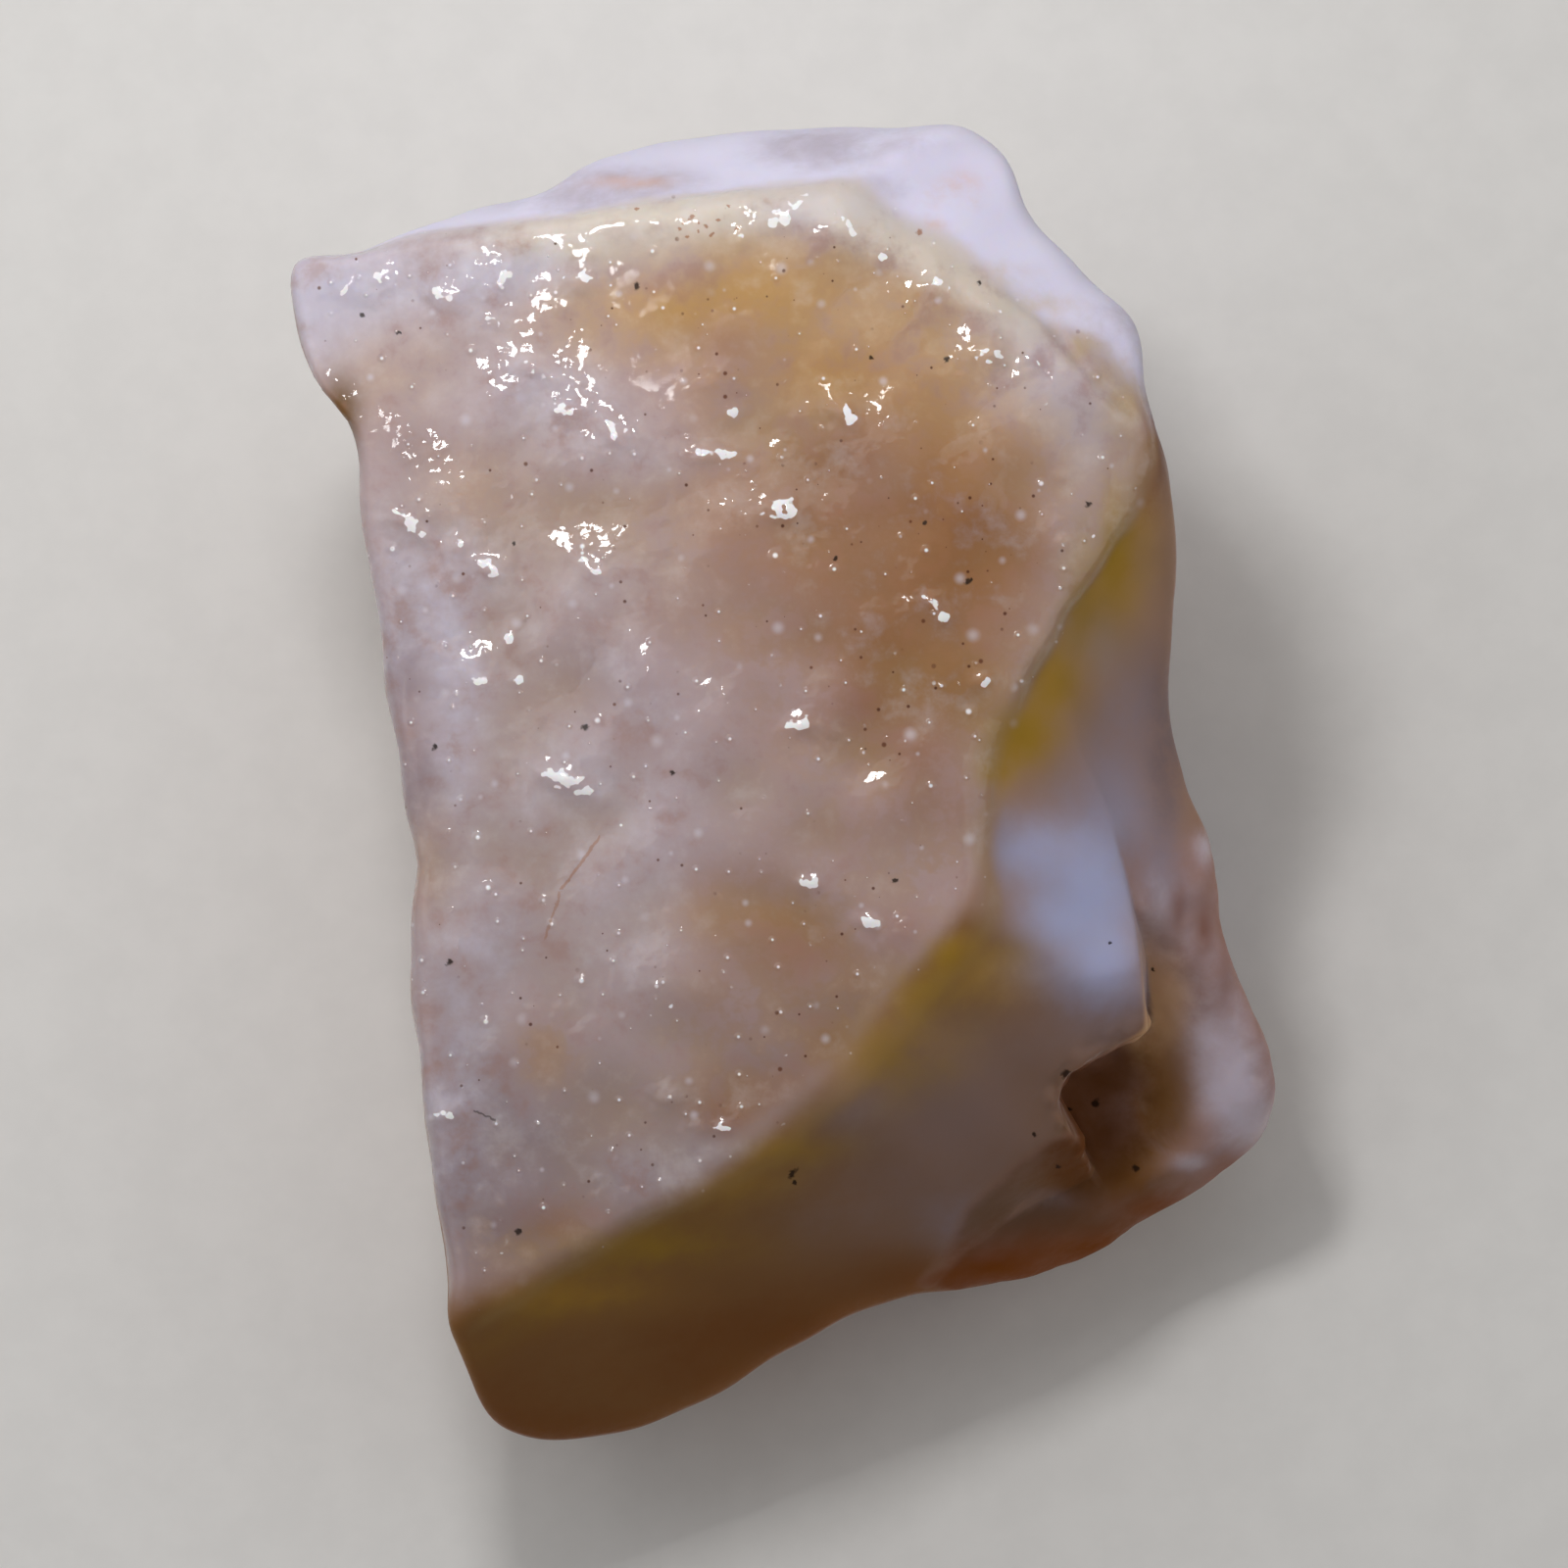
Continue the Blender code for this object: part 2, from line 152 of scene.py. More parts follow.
# Wet welts of the rind, and the groove beside the top: x, y, half length, half width, turn in degrees
# and height. The middles of the raised welts are painted near white as painted glints.
WELTS = (
    (-3.6, 0.03, 0.6, 0.19, -24, 0.075), (0.33, 0.98, 0.24, 0.15, 0, 0.055),
    (1, 6.23, 0.32, 0.15, -56, 0.07), (-1.18, 5.5, 0.42, 0.13, 2, 0.06),
    (0, 4.56, 0.36, 0.2, -8, 0.075), (3.47, 7.2, 0.3, 0.13, -5, 0.06),
    (3.42, 7.08, 0.26, 0.12, 80, 0.045), (4.16, 7.08, 0.16, 0.11, -10, 0.04),
    (2.66, 8.27, 0.34, 0.11, -50, 0.06), (1.6, 8.78, 0.15, 0.13, 0, 0.05),
    (-0.73, 9.1, 0.14, 0.12, 0, 0.045), (0, 9.5, 0.36, 0.22, 35, 0.06), (0.28, 9.74, 0.2, 0.11, 0, 0.04),
    (1.05, 9.3, 0.3, 0.11, -40, 0.055), (-4.66, 8.43, 0.34, 0.11, 58, 0.05),
    (-4.9, 7.76, 0.24, 0.11, -15, 0.045), (-3.4, 8.42, 0.26, 0.17, 15, 0.07),
    (-4.1, 6.93, 0.36, 0.14, -28, 0.065), (-3.67, 6.22, 0.3, 0.18, -15, 0.07),
    (-2.78, 5.8, 0.32, 0.14, -50, 0.06), (-6.2, 4.3, 0.42, 0.12, -38, 0.055),
    (-5.4, 3.95, 0.13, 0.12, 0, 0.04), (-4.87, 3.58, 0.28, 0.15, -35, 0.06),
    (-3.3, 3.68, 0.3, 0.12, -38, 0.05), (-5.66, 8.16, 0.26, 0.15, -30, 0.06),
    (-6.8, 8.4, 0.22, 0.13, 20, 0.05), (-7.3, 8.25, 0.13, 0.11, 0, 0.035),
    (-1.3, 6.7, 0.24, 0.13, 10, 0.05), (-0.85, 6.2, 0.22, 0.12, 25, 0.05),
    (0.4, -1.65, 0.22, 0.13, 0, 0.05), (1.44, -2.3, 0.26, 0.15, -15, 0.055),
    (-1.9, -5.18, 0.18, 0.15, 0, 0.055), (-1.05, -5.7, 0.24, 0.11, 0, 0.045),
    (-5.6, -5.5, 0.24, 0.12, 20, 0.05), (2.45, 3.05, 0.22, 0.12, -45, 0.05),
    (2.64, 2.76, 0.13, 0.11, 0, 0.04), (3.3, 1.72, 0.18, 0.12, 10, 0.045),
    (4.7, 4.05, 0.15, 0.13, 0, 0.045), (4.6, 5.15, 0.11, 0.1, 0, 0.035), (-4.6, 2.4, 0.11, 0.16, 0, 0.045),
    (-4.45, 1.75, 0.13, 0.12, -30, 0.04), (-5.05, 1.7, 0.15, 0.1, -30, 0.035),
    (4, 8.02, 0.42, 0.11, -36, -0.045), (4.72, 7.3, 0.55, 0.11, -52, -0.06),
    (5.45, 6.42, 0.5, 0.11, -46, -0.06),
)
# Low, slow waves of the broken faces.
BREAK_RELIEF = ((0.03, 3, 4.4),)
# Uneven floor of the ledge and of the bay in it.
LEDGE_RELIEF = ((0.07, 1.1, 6.6), (0.02, 0.45, 3.3), (0.008, 0.2, 1.7))
# Crumbs along the rim of the pocket.
CRUMB_RELIEF = ((0.08, 0.5, 4.7), (0.06, 0.26, 8.8))
# Where the broad face ends at the top, and where it ends below and to the right, as x and y along each edge.
CREST_LINE = ((-8.2, 8.7), (-3.9, 9.4), (0.16, 9.9), (2.1, 8.95), (4.2, 7.75), (5, 6.9), (5.94, 5.95))
LOWER_LINE = (
    (-5.5, -8.6), (-3.3, -7.75), (-1.1, -6.6), (0.4, -5.5), (1, -4.85), (1.7, -3.7), (2.9, -2.5),
    (6, -4),
)

# Where the rind ends along the lower edge.
RIND_LINE = (
    (-5.6, -8.6), (-4.6, -8.2), (-3.3, -7.7), (-2, -7), (-1.07, -6.3), (-0.4, -5.8), (0.4, -5.1),
    (1, -4.5), (1.6, -3.7), (2.4, -2.8), (2.9, -2.1), (3.3, -1.3),
)

# Soft patches of ripples and tints: x, y, half width along x and y, and strength.
PATCHES = {
    "ripple": (
        (-4.05, 6.75, 0.75, 0.35, 1), (-3.6, 6.2, 0.65, 0.4, 1), (-3, 5.75, 0.5, 0.4, 1),
        (-6.3, 4.35, 0.7, 0.35, 1), (-5.4, 4, 0.6, 0.4, 0.9), (-4.9, 3.5, 0.4, 0.3, 0.9),
        (-3.2, 3.8, 0.6, 0.45, 0.8), (-0.1, 9.55, 0.6, 0.35, 1), (1.1, 9.15, 0.6, 0.3, 0.8),
        (-1.9, 9.4, 0.5, 0.25, 0.8), (2.5, 8.2, 0.5, 0.5, 0.7), (3.45, 7.15, 0.55, 0.4, 1),
        (4.2, 7, 0.4, 0.3, 0.7), (1, 6.2, 0.45, 0.35, 1), (-0.05, 4.55, 0.6, 0.3, 1),
        (0.6, 4, 0.6, 0.45, 0.6), (-1.15, 5.5, 0.7, 0.25, 0.9), (-1.3, 6.7, 0.5, 0.4, 0.6),
        (-4.7, 8.4, 0.35, 0.5, 1), (-3.4, 8.35, 0.55, 0.4, 1), (-6, 8.2, 0.8, 0.45, 0.9),
        (-7.3, 8.3, 0.5, 0.3, 0.8), (-6.3, 5.6, 0.9, 0.4, 0.6), (-5, 2.2, 1, 0.5, 0.5),
        (-3.5, 0.05, 0.7, 0.35, 1), (-1, 1.4, 0.6, 0.35, 0.6), (0.5, 0.8, 0.5, 0.45, 0.8),
        (2.4, 3, 0.5, 0.45, 0.8), (3.3, 1.7, 0.4, 0.25, 0.6), (0.6, -1.8, 0.6, 0.6, 0.7),
        (1.7, -2.5, 0.5, 0.35, 0.9), (-0.6, -2.6, 0.3, 0.3, 0.6), (-1.9, -5.2, 0.35, 0.3, 0.8),
        (-5, -5.7, 0.8, 0.35, 0.6), (-1.2, -5.8, 0.6, 0.4, 0.6), (-3.3, -4, 1.2, 0.8, 0.4),
        (4.6, 3.9, 0.4, 0.6, 0.5), (-2.6, -6.8, 1, 0.5, 0.5),
    ),
    "tan": (
        (2.9, 3.4, 0.9, 0.6, 0.45), (2.8, 1.6, 0.7, 0.6, 0.45), (0.8, -3.4, 0.9, 0.5, 0.3),
        (0, 2.5, 1.2, 0.5, 0.25), (0.7, 8.2, 2.6, 1, 0.68), (3.3, 5.3, 1.9, 1.6, 0.5),
        (2.4, 2.1, 1.9, 0.9, 0.5), (0.6, 6.2, 2.2, 1.2, 0.4), (-5.3, 4.9, 1.2, 0.9, 0.25),
        (-2.2, 4.2, 1.7, 1.1, 0.2), (-0.2, -2.2, 1.2, 0.4, 0.6), (-0.9, -1.8, 0.5, 0.25, 0.3),
        (-4, -4.4, 0.6, 0.6, 0.5), (-1, -4.2, 1.5, 1.3, 0.25), (-4.2, -7.7, 1.1, 0.6, 0.4),
        (-5.9, -1.3, 0.6, 1.1, 0.2), (1.5, 0.2, 1.5, 0.8, 0.25), (2.2, -1.6, 0.9, 0.8, 0.3),
        (-6.4, 6.9, 1.1, 0.9, 0.25), (-3.6, 7.6, 1.1, 0.7, 0.2), (-0.4, 8.5, 1, 0.6, 0.5),
        (-1.77, 7.91, 1.56, 0.82, 0.8), (2.95, 7.18, 1.3, 0.83, 0.28), (1.71, 4.27, 1.67, 1.1, 0.47),
    ),
    # Painted shade: the rind made darker towards the bottom, the lower left and the left edge, where the
    # light falls off.
    "painted_falloff_shade": (
        (-1, -6.6, 0.9, 0.4, 0.8), (1.9, -2.6, 0.5, 0.5, 0.6), (-2.2, -6.4, 1.2, 0.6, 0.6),
        (-6.2, 5.5, 0.4, 0.5, 0.6), (-0.9, -5.6, 0.9, 0.5, 0.7), (-5, -4.6, 0.6, 0.5, 0.6),
        (-6.35, 2, 0.45, 1.8, 0.9), (-6.15, 0, 0.45, 1.4, 0.9), (-5.2, -2, 1.4, 1.6, 0.4),
        (-1.2, 4.4, 1.6, 1, 0.35), (-3, 1.94, 0.96, 0.73, 0.68), (0.22, -4.65, 1.78, 1.04, 0.91),
        (1.4, -3.93, 0.96, 0.98, 0.95), (-4.75, -7.57, 1.26, 0.8, 0.9), (-2.77, -4.65, 2.23, 1.56, 0.43),
        (-4.58, -6.62, 2.34, 2.15, 0.92),
    ),
    "russet": (
        (0.2, 2.4, 0.8, 0.6, 0.4), (0, -2.1, 0.9, 0.6, 0.4), (4.1, 3.9, 0.6, 0.8, 0.35),
        (-5.9, 5.6, 0.6, 0.4, 0.3), (-4, -4.4, 0.5, 0.5, 0.35), (1, -4.2, 0.7, 0.6, 0.4),
        (-6.2, 1.2, 0.4, 1.2, 0.3), (3, 3.5, 0.7, 0.6, 0.5), (2.9, 1.5, 0.6, 0.6, 0.45),
        (2.2, 3.4, 1.7, 0.9, 0.65), (1.6, 2.4, 2.2, 0.7, 0.55), (2.2, 0.5, 0.9, 0.6, 0.55),
        (0.4, -0.8, 1.8, 0.5, 0.35), (-0.8, -1.5, 1, 0.45, 0.4), (2.3, -0.5, 0.8, 0.5, 0.45),
        (2.4, -1.5, 0.6, 0.6, 0.4), (1.3, -3.4, 0.6, 0.6, 0.55), (-0.4, -3.9, 1.2, 0.6, 0.5),
        (-0.3, -4.9, 1, 0.5, 0.45), (-1, -5.5, 0.7, 0.4, 0.45), (-3.9, -7.3, 1, 0.45, 0.45),
        (-5, -8.2, 0.6, 0.4, 0.45), (-3.2, 1.5, 0.8, 0.4, 0.3), (3, 5.4, 1.1, 0.5, 0.35),
        (-1, 7.4, 0.6, 0.45, 0.55), (6.05, 5.4, 0.25, 0.9, 0.85), (-2.6, 0.6, 0.8, 0.4, 0.2),
        (3.4, 4.4, 0.8, 0.6, 0.35), (0.2, 1, 0.9, 0.4, 0.15), (1.6, 6, 0.7, 0.4, 0.25),
        (0.89, 5.38, 0.9, 0.55, 0.81), (0.6, -2.71, 1.31, 0.69, 0.71), (1.57, 1.34, 1.24, 0.68, 0.77),
        (1.58, 4.54, 1.44, 0.63, 0.77),
    ),
    "sand": ((6.35, -4, 0.45, 0.8, 0.9), (5.99, -4.47, 0.35, 0.4, 0.93), (6.14, -3.43, 0.46, 0.84, 0.99)),
    "pale": (
        (3, 8.6, 0.9, 0.35, 0.5), (4.1, 7.5, 0.7, 0.5, 0.9), (5.1, 5.6, 0.5, 0.6, 0.7),
        (2.2, 9.3, 0.8, 0.25, 0.4), (-3, 3.4, 0.9, 0.7, 0.35), (-5, -3, 0.9, 1, 0.3),
        (-2.3, 5.4, 0.9, 0.5, 0.35), (3.2, 7.6, 0.7, 0.4, 0.4), (-7.6, 8.2, 1.5, 1, 1),
        (-5.7, 2.2, 1.3, 2.2, 0.6), (-5.4, -5.4, 0.8, 2, 0.3), (-0.4, -0.9, 1.8, 0.9, 0.3),
        (-1.4, -6.3, 1.4, 0.6, 0.3), (-3, 1.4, 1.5, 1.1, 0.25), (4.9, 4, 0.5, 1.2, 0.3),
        (-2.6, -3, 1.2, 1, 0.2), (2, -2.2, 0.8, 0.6, 0.2), (-3.2, -1.9, 1, 0.8, 0.3),
        (2.8, 2.6, 1, 0.5, 0.2), (-4.73, 8.54, 1.82, 0.62, 0.87), (4.58, 6.54, 0.97, 0.8, 0.78),
        (-3.81, 6.55, 1.36, 1.13, 0.53), (0.62, 9.57, 1.52, 0.35, 0.98), (-3.77, -0.46, 1.66, 1.16, 0.43),
    ),
    "rose": (
        (1.3, 6.9, 1.5, 0.6, 0.45), (2.2, 6.3, 1.2, 0.7, 0.35), (6.9, -2.8, 0.4, 0.9, 0.5),
        (1, -2.8, 2, 1.7, 0.6), (1, 5.2, 1.1, 0.7, 0.7), (3, -0.4, 0.7, 0.8, 0.5),
        (2, -2.3, 0.6, 0.6, 0.6), (0.9, -4.3, 0.6, 0.5, 0.5), (-2.4, 7.2, 1.6, 0.6, 0.35),
        (0.6, 3.6, 1.7, 1, 0.6), (1.6, -0.9, 1.4, 1, 0.4), (-2.4, 2.6, 1.8, 0.9, 0.25),
        (3, 5.5, 1.3, 1, 0.6), (-0.9, 4.5, 1.4, 0.8, 0.5), (3.02, 3.53, 2.1, 1.83, 0.91),
        (1.4, 1.38, 2.12, 1.57, 0.76), (-1.24, 6.34, 2.09, 1.24, 0.36),
    ),
    "lime": (
        (5.05, 3.7, 0.35, 0.9, 0.6), (2.3, -4.6, 0.9, 0.6, 0.2), (4.55, 7.55, 0.26, 0.16, 0.45),
        (4.88, 7.12, 0.18, 0.2, 0.45), (5.2, 6.76, 0.18, 0.2, 0.45), (5.52, 6.4, 0.18, 0.22, 0.45),
        (3.95, 0.8, 0.6, 0.5, 1), (3.45, 0.2, 0.3, 0.25, 0.8), (4.55, 1.6, 0.45, 0.6, 0.7),
        (5.5, 4.2, 0.3, 1.3, 0.9), (4.95, 2.7, 0.3, 0.8, 0.7), (2.75, -2.85, 0.38, 0.32, 0.8),
        (3.5, -2.8, 0.7, 0.22, 0.2), (-2.2, -7.7, 1.5, 0.3, 0.5), (0.2, -6.1, 0.9, 0.25, 0.4),
        (4.8, 7.35, 0.6, 0.25, 0.2), (5.75, 6.3, 0.25, 0.5, 0.4), (2.22, -3.4, 0.59, 0.51, 0.68),
        (1.65, -4.34, 0.47, 0.55, 0.43),
    ),
    "gild": ((-7.42, 6.25, 0.34, 0.5, 1), (-7.35, 5.7, 0.22, 0.45, 0.8)),
    "cream": (
        (-0.9, 9.1, 1.2, 0.3, 0.5), (4.4, 6.4, 1, 0.8, 0.5), (3.6, 7.3, 1, 0.4, 0.3),
        (-1, 9.5, 2.6, 0.3, 0.8), (1.9, 8.9, 1.2, 0.3, 0.5), (3.6, 8, 1, 0.3, 0.3),
        (5.4, 6.1, 0.4, 0.8, 0.5), (-2, 7.8, 1, 0.6, 0.3), (-3.55, 8.91, 2.05, 0.46, 0.84),
    ),
    "buff": (
        (4.35, 8, 0.5, 0.2, 0.6), (4.95, 7.35, 0.3, 0.3, 0.6), (5.4, 6.85, 0.22, 0.3, 0.5),
        (5.75, 6.3, 0.18, 0.35, 0.6), (3.4, 8.55, 0.6, 0.2, 0.5),
    ),
    # Painted shade on the right edge, where it turns away from the light.
    "shade": ((6.35, 0.4, 0.35, 1.2, 0.6), (6.1, 5.5, 0.3, 0.65, 1)),
    "dull": (
        (-0.95, 7.15, 0.5, 0.4, 1), (-0.2, 8.8, 0.3, 0.25, 0.9), (-0.8, 7.6, 1.8, 1, 1),
        (-1.9, 8.4, 0.8, 0.5, 0.8), (1.6, 6.9, 1, 0.5, 0.7), (-6.8, 5.8, 1, 0.8, 0.7),
        (-2.49, 8.17, 0.78, 0.48, 0.99), (-2.06, 6.96, 0.99, 0.61, 1),
    ),
    "blush": (
        (2.95, 10, 0.35, 0.22, 0.6), (2.5, 9.8, 0.2, 0.14, 0.4), (2.5, 9.3, 0.18, 0.12, 0.4),
        (3.15, 9.7, 0.16, 0.12, 0.4), (-2.6, 10.05, 0.6, 0.1, 0.4),
    ),
    "haze": (
        (-3, 9.8, 1.6, 0.35, 0.6), (0.6, 10.6, 0.9, 0.3, 0.9), (2.1, 10.75, 0.7, 0.2, 0.6),
        (5.5, 7.6, 0.5, 0.6, 0.5), (-2.6, 10.1, 0.9, 0.2, 0.5), (1.6, 9.95, 0.6, 0.25, 0.35),
    ),
    "ash": (
        (5.2, 2.4, 0.5, 0.7, 0.6), (6.1, 3.9, 0.35, 0.9, 0.15), (1.1, -5.4, 0.6, 0.5, 0.4),
        (3, -7.4, 0.6, 0.4, 0.5), (5.5, -0.3, 0.9, 1.2, 1), (6.3, -1.6, 0.35, 0.9, 0.8),
        (5.9, 1.3, 0.7, 1, 0.5), (3.6, -1, 0.4, 0.7, 0.7),
    ),
    "nose": (
        (4.2, -3.1, 0.7, 0.4, 0.2), (5.15, -1.7, 0.85, 1, 0.9), (4.2, -1.1, 0.8, 0.55, 0.65),
        (4.7, -2.25, 0.79, 0.57, 0.73), (5.32, -3.02, 0.74, 0.78, 0.86),
    ),
    "amber": (
        (-3, -11.2, 3.5, 0.7, 1), (0.3, -9.2, 2.2, 0.8, 0.9), (-4.8, -10.5, 1.4, 1.2, 0.6),
        (2, -8.3, 1.2, 0.6, 0.8), (-1.2, -9.9, 2, 0.9, 0.6),
    ),
    "mauve": (
        (2.9, -5.4, 2.2, 1.9, 1), (3, -7.3, 0.9, 0.6, 0.6), (4.6, -4.2, 1.4, 0.7, 0.7),
        (1.6, -7.2, 1.6, 1, 0.5),
    ),
    "pocket": (
        (4.85, -5.5, 0.5, 0.9, 0.9), (5.75, -4.6, 0.42, 0.38, 0.8), (5.45, -5.89, 0.66, 0.74, 0.86),
        (4.96, -6.51, 0.65, 0.52, 0.93), (5.3, -4.95, 0.81, 0.57, 0.92),
    ),
    "olive": (
        (6.15, -5.5, 0.35, 0.5, 0.7), (6.45, -5.2, 0.5, 0.75, 0.9), (5.9, -6.3, 0.6, 0.35, 0.6),
        (5.1, -6.7, 0.8, 0.3, 0.5), (6.19, -4.58, 0.44, 0.46, 0.62),
    ),
    "moss": (
        (6.05, 4.1, 0.3, 0.8, 0.5), (-3.6, -8.5, 1.3, 0.35, 0.45), (-0.9, -6.6, 0.9, 0.35, 0.35),
        (5.5, 4, 0.45, 1.4, 1), (5.1, 2.9, 0.5, 0.8, 0.9), (4.5, 1.8, 0.55, 0.7, 0.9),
        (3.9, 0.9, 0.55, 0.6, 0.8), (5.9, 5.4, 0.3, 0.9, 0.8), (3.4, 0, 0.35, 0.5, 0.6),
        (3.41, -3.07, 0.92, 0.55, 0.51),
    ),
    "frost": (
        (6.35, -2.2, 0.4, 0.75, 0.4), (4.6, -6.95, 0.45, 0.16, 0.3), (7, -2.6, 0.35, 0.8, 0.5),
        (7.55, -5.1, 0.55, 0.8, 1), (7.85, -5.7, 0.4, 0.4, 0.8), (7.1, -4.2, 0.45, 0.6, 0.6),
        (7.45, -4.1, 0.3, 1.1, 0.5), (7.05, -0.95, 0.22, 0.35, 0.9), (6.85, -6.35, 0.35, 0.15, 0.7),
    ),
    # The orange of the thin lower edge: partly the stone's own colour, partly painted glow of light shining
    # through it.
    "ember": (
        (3.6, -8.15, 1.7, 0.42, 1), (2.2, -8.5, 0.8, 0.42, 1), (5.2, -7.8, 1.5, 0.42, 0.95),
        (7.02, -2.45, 0.2, 0.5, 0.7), (6.4, -7.15, 0.9, 0.32, 0.8), (6.6, -2.1, 0.16, 0.45, 0.5),
        (7.4, -3.3, 0.16, 0.9, 0.3), (7.6, -6.45, 0.6, 0.22, 0.5),
    ),
    # Painted glow along the outline, where light would shine through the thin edges.
    "rim": (
        (7.4, -3, 0.6, 1.6, 0.6), (6.95, -1.2, 0.4, 0.8, 0.6), (4.5, -7.9, 3, 0.6, 0.55),
        (0, -9.5, 3.5, 1.5, 0.4), (-8, 5.6, 0.7, 1.6, 0.6), (-6.6, -0.7, 0.6, 1.2, 0.6),
        (-7.2, 3, 0.6, 2, 0.3), (-6.1, -8.5, 0.5, 1.5, 0.3),
    ),
    # Painted shade on the ledge below the lower step and on the lower step wall.
    "painted_step_shade": (
        (4.6, -6.3, 0.5, 0.5, 0.6), (4.5, -6.8, 1.1, 0.65, 0.95), (6.5, -5.9, 0.4, 0.4, 0.3),
        (5, -7.4, 1.1, 0.4, 0.9), (2.43, -7.78, 0.82, 0.52, 0.91), (3.41, -7.25, 1.56, 0.74, 0.97),
        (5.62, -6.64, 1.01, 0.43, 0.99),
    ),
}

# Fades of covers and tints, each from nothing at the first number to full at the second. Those to the left
# and down are over -x and -y.
FADES = {
    "rind line": (-0.5, 0.5), "rind left": (-3.9, -3.2), "rind depth": (0.1, 0.45),
    "upper step": (-0.03, 0.05), "lower step": (-0.12, 0), "ledge down": (0.4, 1.4),
    "front": (-2.4, -1.2), "pocket down": (3.4, 4.1), "pocket up": (-7, -6.2),
    "pocket out": (-2, -0.5), "rest": (0.05, 0.6), "welts out": (-1.5, -1),
    "border left": (-1.6, -0.6), "turn": (0, 0.25), "back": (1.4, 3.4), "milk up": (-0.3, 0.1),
    "milk out": (-4.8, -1.4), "crest up": (-0.75, -0.05), "crest left": (-5, -4),
    "crest right": (-6, -4), "verge right": (-5.6, -4.8), "verge down": (-7, -6),
    "lower breaks": (-0.7, -0.1), "wall down": (5.6, 6.2), "rim out": (-3.4, -2.2), "veil": (-1.3, 1.3),
    "stain": (0, 2.4), "marks turn": (0.1, 0.4), "marks out": (-2.4, -1.6),
}
# Soft bands: the distance at which each is strongest and its half width.
BANDS = {
    "border": (-0.35, 0.45), "verge": (0.2, 0.16), "lime": (0.7, 0.4), "wall": (0, 0.15),
    "pocket rim": (0, 0.25),
}
# How far the painted glow of the rim, light shining through the thin edges, reaches in from the outline.
RIM_WIDTH = 0.25
# How far the milk drops with depth, how uneven its end is, and the least share of the veil.
MILK_DROP = 0.6
MILK_UNEVEN = 0.8
VEIL_LEAST = 0.45
# Shares that tints have outside their patches, among them the painted shade along the lower border of the
# rind and on the lower step wall, and the x from which russet lies on any surface.
BUFF_ON_RIND = 0.4
FALLOFF_SHADE_BORDER = 0.6
STEP_SHADE_WALL = 0.8
LIME_BAND = 0.15
RUSSET_RIGHT = 5.5
# Noise that makes tints uneven: width and seed.
UNEVEN = (3.2, 6.1)
STAINED = (1.9, 7.7)
SWAYED = (2.2, 12.3)
# Strewn marks: the width and seed of the noise in which they crowd together, and the fade of the crowd.
CROWDS = {
    "dots": (1.25, 3.4, -0.6, 0.6), "big_beads_and_glints": (0.75, 8.2, -0.3, 0.1),
    "small_beads_and_glints": (0.4, 1.6, -0.1, 0.3), "brown_grit": (0.9, 5.8, 1, 1.6),
    "red_grit": (0.6, 2.9, 1, 1.6),
}

# Specks of iron and soot: x, y and radius.
SPECKS = (
    (-2.46, 8.3, 0.065), (2.7, 7.07, 0.055), (5.05, 4.66, 0.06), (3.08, 3.39, 0.055), (-3.31, 0.95, 0.065),
    (-5.82, 0.62, 0.055), (-1.85, 0.2, 0.05), (-5.59, -2.97, 0.06), (-7.05, 7.82, 0.055),
    (-6.43, 7.52, 0.045), (1.84, -1.61, 0.05), (-4.51, 4, 0.04), (-4.43, -7.46, 0.06), (0.13, -6.5, 0.07),
    (0.16, -6.66, 0.055), (3.25, 8.35, 0.045), (1.45, 7.1, 0.05), (0.85, 3.75, 0.045), (2.35, 4.35, 0.04),
    (6.2, -3.1, 0.045), (4.72, -4.85, 0.09), (4.8, -5.45, 0.05), (5.25, -5.35, 0.075), (4.2, -5.85, 0.05),
    (5.9, -6.45, 0.07), (4.6, -6.4, 0.05), (5.45, -2.65, 0.03),
)
# Dark thin marks: two ends, half width and darkness.
SCRATCHES = (((-5.2, -5.45), (-4.75, -5.6), 0.035, 0.6), ((0.04, -6.62), (0.22, -6.4), 0.045, 0.6))
# Rusty cracks: two ends, half width and strength.
CRACKS = (((-3.05, -0.85), (-3.7, -1.75), 0.035, 0.5), ((-3.7, -1.75), (-4, -2.6), 0.03, 0.4))
# Rusty freckles on the top of the stone: x, y and radius.
FRECKLES = (
    (2.25, 9.2, 0.06), (-1.55, 9.45, 0.045), (-1.3, 9.3, 0.05), (-1.1, 9.4, 0.035), (-1.75, 9.25, 0.04),
    (-2.45, 9.6, 0.035), (-0.95, 9.62, 0.04), (-1.45, 9.2, 0.035), (-1.62, 9.12, 0.03), (-1.2, 9.16, 0.03),
    (-0.8, 9.25, 0.035), (-1.42, 9.36, 0.03), (-1.66, 9.36, 0.03),
)


def smooth_max(a, b, soft):
    blend = np.maximum(soft - np.abs(a - b), 0.0) / soft
    return np.maximum(a, b) + blend * blend * soft / 4


def smooth_min(a, b, soft):
    return -smooth_max(-a, -b, soft)


def broad_face_height(x, y):
    lean = FACE_LEAN[0] * x + FACE_LEAN[1] * y
    bulge = FACE_BULGE[0] * x * x + FACE_BULGE[1] * y * y
    return FACE_TOP - lean - bulge / 2


def facing(heading, slope):
    heading = math.radians(heading)
    slope = math.radians(slope)
    level = math.sin(slope)
    return np.array((math.cos(heading) * level, math.sin(heading) * level, math.cos(slope)))


def facet_gap(points, place, heading, slope, bulge_down, bulge_across):
    """Distance outside a gently curved facet that passes through a place."""
    normal = facing(heading, slope)
    down = facing(heading, slope + 90)
    offset = points - np.array(place)
    bend = bulge_down * (offset @ down) ** 2 + bulge_across * (offset @ np.cross(normal, down)) ** 2
    return offset @ normal + bend / 2


